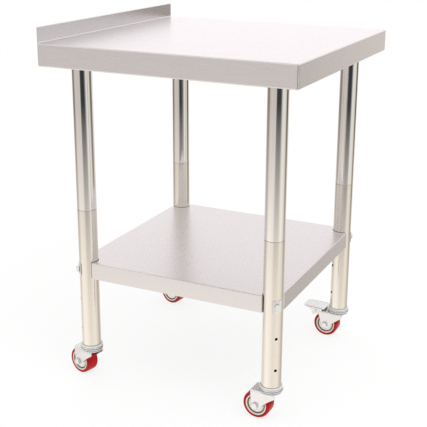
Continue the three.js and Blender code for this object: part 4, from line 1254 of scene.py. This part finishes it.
tread = AXLE_HEIGHT - 0.00002  # the tread just clears the floor
share = np.linspace(0, 1, 9)
shoulder = np.stack([
    tread - TREAD_CROWN - TYRE_SHOULDER * (1 - share) ** 2,
    TYRE_EDGE - TYRE_SHOULDER_WIDTH * share**2,
], -1)
half_tyre = np.vstack([
    [(TYRE_INNER, TYRE_EDGE - 0.0011)], arc((TYRE_INNER + 0.0007, TYRE_EDGE - 0.0011), 0.0007, 180, 90, 4),
    [(TYRE_INNER + 0.0016, TYRE_EDGE - 0.0002)], shoulder,
    [(tread, TYRE_SHOULDER_WIDTH / 2), (tread, 0.0003)],
])
tyre_profile = np.vstack([half_tyre, (half_tyre * (1, -1))[::-1]])
for corner in CORNERS:
    tyre = about_axle(turned(tyre_profile, sides=128), TRAIL, AXLE_HEIGHT)
    add_piece("red_tyre_" + corner, at_caster(tyre, corner), RED, "wheel_" + corner,
              ["tyre_" + corner])

# ---- the foot brakes ----
# A flanged plate of plated steel on a pin through the fork's ears. Pressed down at its tip, it tips on the
# pin and wedges its pad on the tyre. A leaf spring under the crown stands just behind the pad.

PEDAL_INNER = FORK_OUTER + 0.0005
PEDAL_OUTER = PEDAL_INNER + 0.0015
PEDAL_TIP = TRAIL + 0.063
PEDAL_PLATE = 0.002
PEDAL_FRONT = 0.031
PEDAL_NOSE = PEDAL_FRONT + 0.007
PEDAL_LIP_DROP = 0.013
PEDAL_CHEEK_REAR = 0.027
PAD_HALF_WIDTH = 0.016
PAD_HALF = 0.0045
BRAKE_TRAVEL = math.radians(15)
RIB_COUNT = 5
PIN_RIM = 0.0034
PIN_BORE = 0.0020
PAD_ANGLE = math.radians(45)  # up from the axle to where the pressed pad meets the tread

plate_bottom = PIVOT_HEIGHT + EAR_RADIUS + 0.0005
plate_top = plate_bottom + PEDAL_PLATE
cheek_low = PIVOT_HEIGHT - PEDAL_LIP_DROP
cheek = np.vstack([
    [(PEDAL_NOSE, plate_top)],
    hollow_curve((PEDAL_NOSE, PIVOT_HEIGHT + 0.002), (PIVOT_ALONG, PIVOT_HEIGHT - EAR_RADIUS),
                 (PIVOT_ALONG + 0.004, cheek_low), 12),
    hollow_curve((PIVOT_ALONG + 0.010, cheek_low), (PIVOT_ALONG + 0.010, PIVOT_HEIGHT),
                 (PIVOT_ALONG + PEDAL_CHEEK_REAR, plate_bottom), 12),
    [(PEDAL_TIP - 0.006, plate_top)],
])
pad_reach = AXLE_HEIGHT + 0.00055
pressed = (TRAIL + pad_reach * math.cos(PAD_ANGLE) - PIVOT_ALONG,
           AXLE_HEIGHT + pad_reach * math.sin(PAD_ANGLE) - PIVOT_HEIGHT)
pad_tip = (PIVOT_ALONG + pressed[0] * math.cos(BRAKE_TRAVEL) - pressed[1] * math.sin(BRAKE_TRAVEL),
           PIVOT_HEIGHT + pressed[0] * math.sin(BRAKE_TRAVEL) + pressed[1] * math.cos(BRAKE_TRAVEL))
in_plate = plate_bottom + PEDAL_PLATE / 2
pad_outline = rounded_corners([
    (PIVOT_ALONG - PAD_HALF, in_plate), (PIVOT_ALONG - PAD_HALF, PIVOT_HEIGHT - PAD_HALF), pad_tip,
    (pad_tip[0] + PAD_HALF, pad_tip[1] + PAD_HALF), (pad_tip[0] + PAD_HALF, in_plate),
], 0.001)
plate_outline = rounded_corners([
    (PEDAL_FRONT, -PEDAL_OUTER), (PEDAL_TIP, -PEDAL_OUTER), (PEDAL_TIP, PEDAL_OUTER),
    (PEDAL_FRONT, PEDAL_OUTER),
], [0.003, 0.009, 0.009, 0.003], 6)
plate = prism(plate_outline, plate_bottom, plate_top, 2)
ribs = [
    upright(arc((PEDAL_TIP - 0.008 - i * 0.006, plate_top - 0.0002), 0.0009, 0, 180, 9),
            -PEDAL_OUTER + 0.006, PEDAL_OUTER - 0.006)
    for i in range(RIB_COUNT)
]
half_pin = np.array([
    (PIN_RADIUS, PEDAL_OUTER), (PIN_RIM, PEDAL_OUTER), (PIN_RIM, PEDAL_OUTER + 0.0006),
    (PIN_RIM - 0.0006, PEDAL_OUTER + 0.0010), (PIN_BORE + 0.0001, PEDAL_OUTER + 0.0006), (PIN_BORE, 0.0),
])
pin_profile = np.vstack([half_pin, (half_pin[:-1] * (1, -1))[::-1]])
pin = about_axle(turned(pin_profile, sides=48), PIVOT_ALONG, PIVOT_HEIGHT)
SPRING_STRIP = 0.0006  # thick, and as far below the crown
SPRING_HALF_WIDTH = 0.006
SPRING_END_DROP = 0.0030
SPRING_CLEARANCE = 0.0020  # the pad swings 1.0 mm towards the spring as the pedal goes down
spring_level = CROWN_BOTTOM - SPRING_STRIP
spring_end = (PIVOT_ALONG - PAD_HALF - SPRING_CLEARANCE, PIVOT_HEIGHT - SPRING_END_DROP)
spring_start = (CROWN_REAR - 0.010, spring_level)
spring_path = hollow_curve(spring_start, (CROWN_REAR + 0.004, spring_level), spring_end, 12)
spring_outline = np.vstack([spring_path, spring_path[::-1] - (0, SPRING_STRIP)])
spring = upright(spring_outline, -SPRING_HALF_WIDTH, SPRING_HALF_WIDTH)

for corner in CORNERS:
    if "brake_pedal_" + corner not in frame["nodes"]:
        continue
    pedal = together(
        plate, upright(cheek, PEDAL_INNER, PEDAL_OUTER), upright(cheek, -PEDAL_OUTER, -PEDAL_INNER),
        upright(pad_outline, -PAD_HALF_WIDTH, PAD_HALF_WIDTH), *ribs,
    )
    add_piece("foot_pedal_" + corner, at_caster(pedal, corner), ZINC, "pedal_" + corner,
              ["brake_pedal_" + corner], soften=0.0004)
    add_piece("pedal_pin_" + corner, at_caster(pin, corner), ZINC, "pedal_" + corner)
    add_piece("brake_spring_" + corner, at_caster(spring, corner), ZINC, "caster_" + corner)

# ---- the floor ----
# A plain pale floor that fades into the white of the room, with only a soft shadow under the wheels.

FLOOR_HALF = 6.0
FLOOR_DROP = 0.0002

floor_mesh = bpy.data.meshes.new("floor")
floor_corners = ((-1, -1), (1, -1), (1, 1), (-1, 1))
floor_points = [(x * FLOOR_HALF, y * FLOOR_HALF, -FLOOR_DROP) for x, y in floor_corners]
floor_mesh.from_pydata(floor_points, [], [(0, 1, 2, 3)])
floor = bpy.data.objects.new("floor", floor_mesh)
scene.collection.objects.link(floor)
pale, tree, surface = new_finish("pale_floor", Roughness=0.9)
place = node(tree, "TexCoord").outputs["Object"]
mottle = noise(tree, place, 14.0, 3.0)
connect(tree, surface, Base_Color=ramp(tree, mottle, [(0.3, (0.90, 0.90, 0.90)), (0.7, (0.93, 0.93, 0.93))]))
glow = node(tree, "Emission", {"Color": (1.0, 1.0, 1.0, 1), "Strength": 1.02})
blend = node(tree, "MixShader", {0: 0.22, 1: glow.outputs[0], 2: surface.outputs[0]})
tree.links.new(blend.outputs[0], next(n for n in tree.nodes if n.type == "OUTPUT_MATERIAL").inputs[0])
floor_mesh.materials.append(pale)
floor.visible_glossy = False
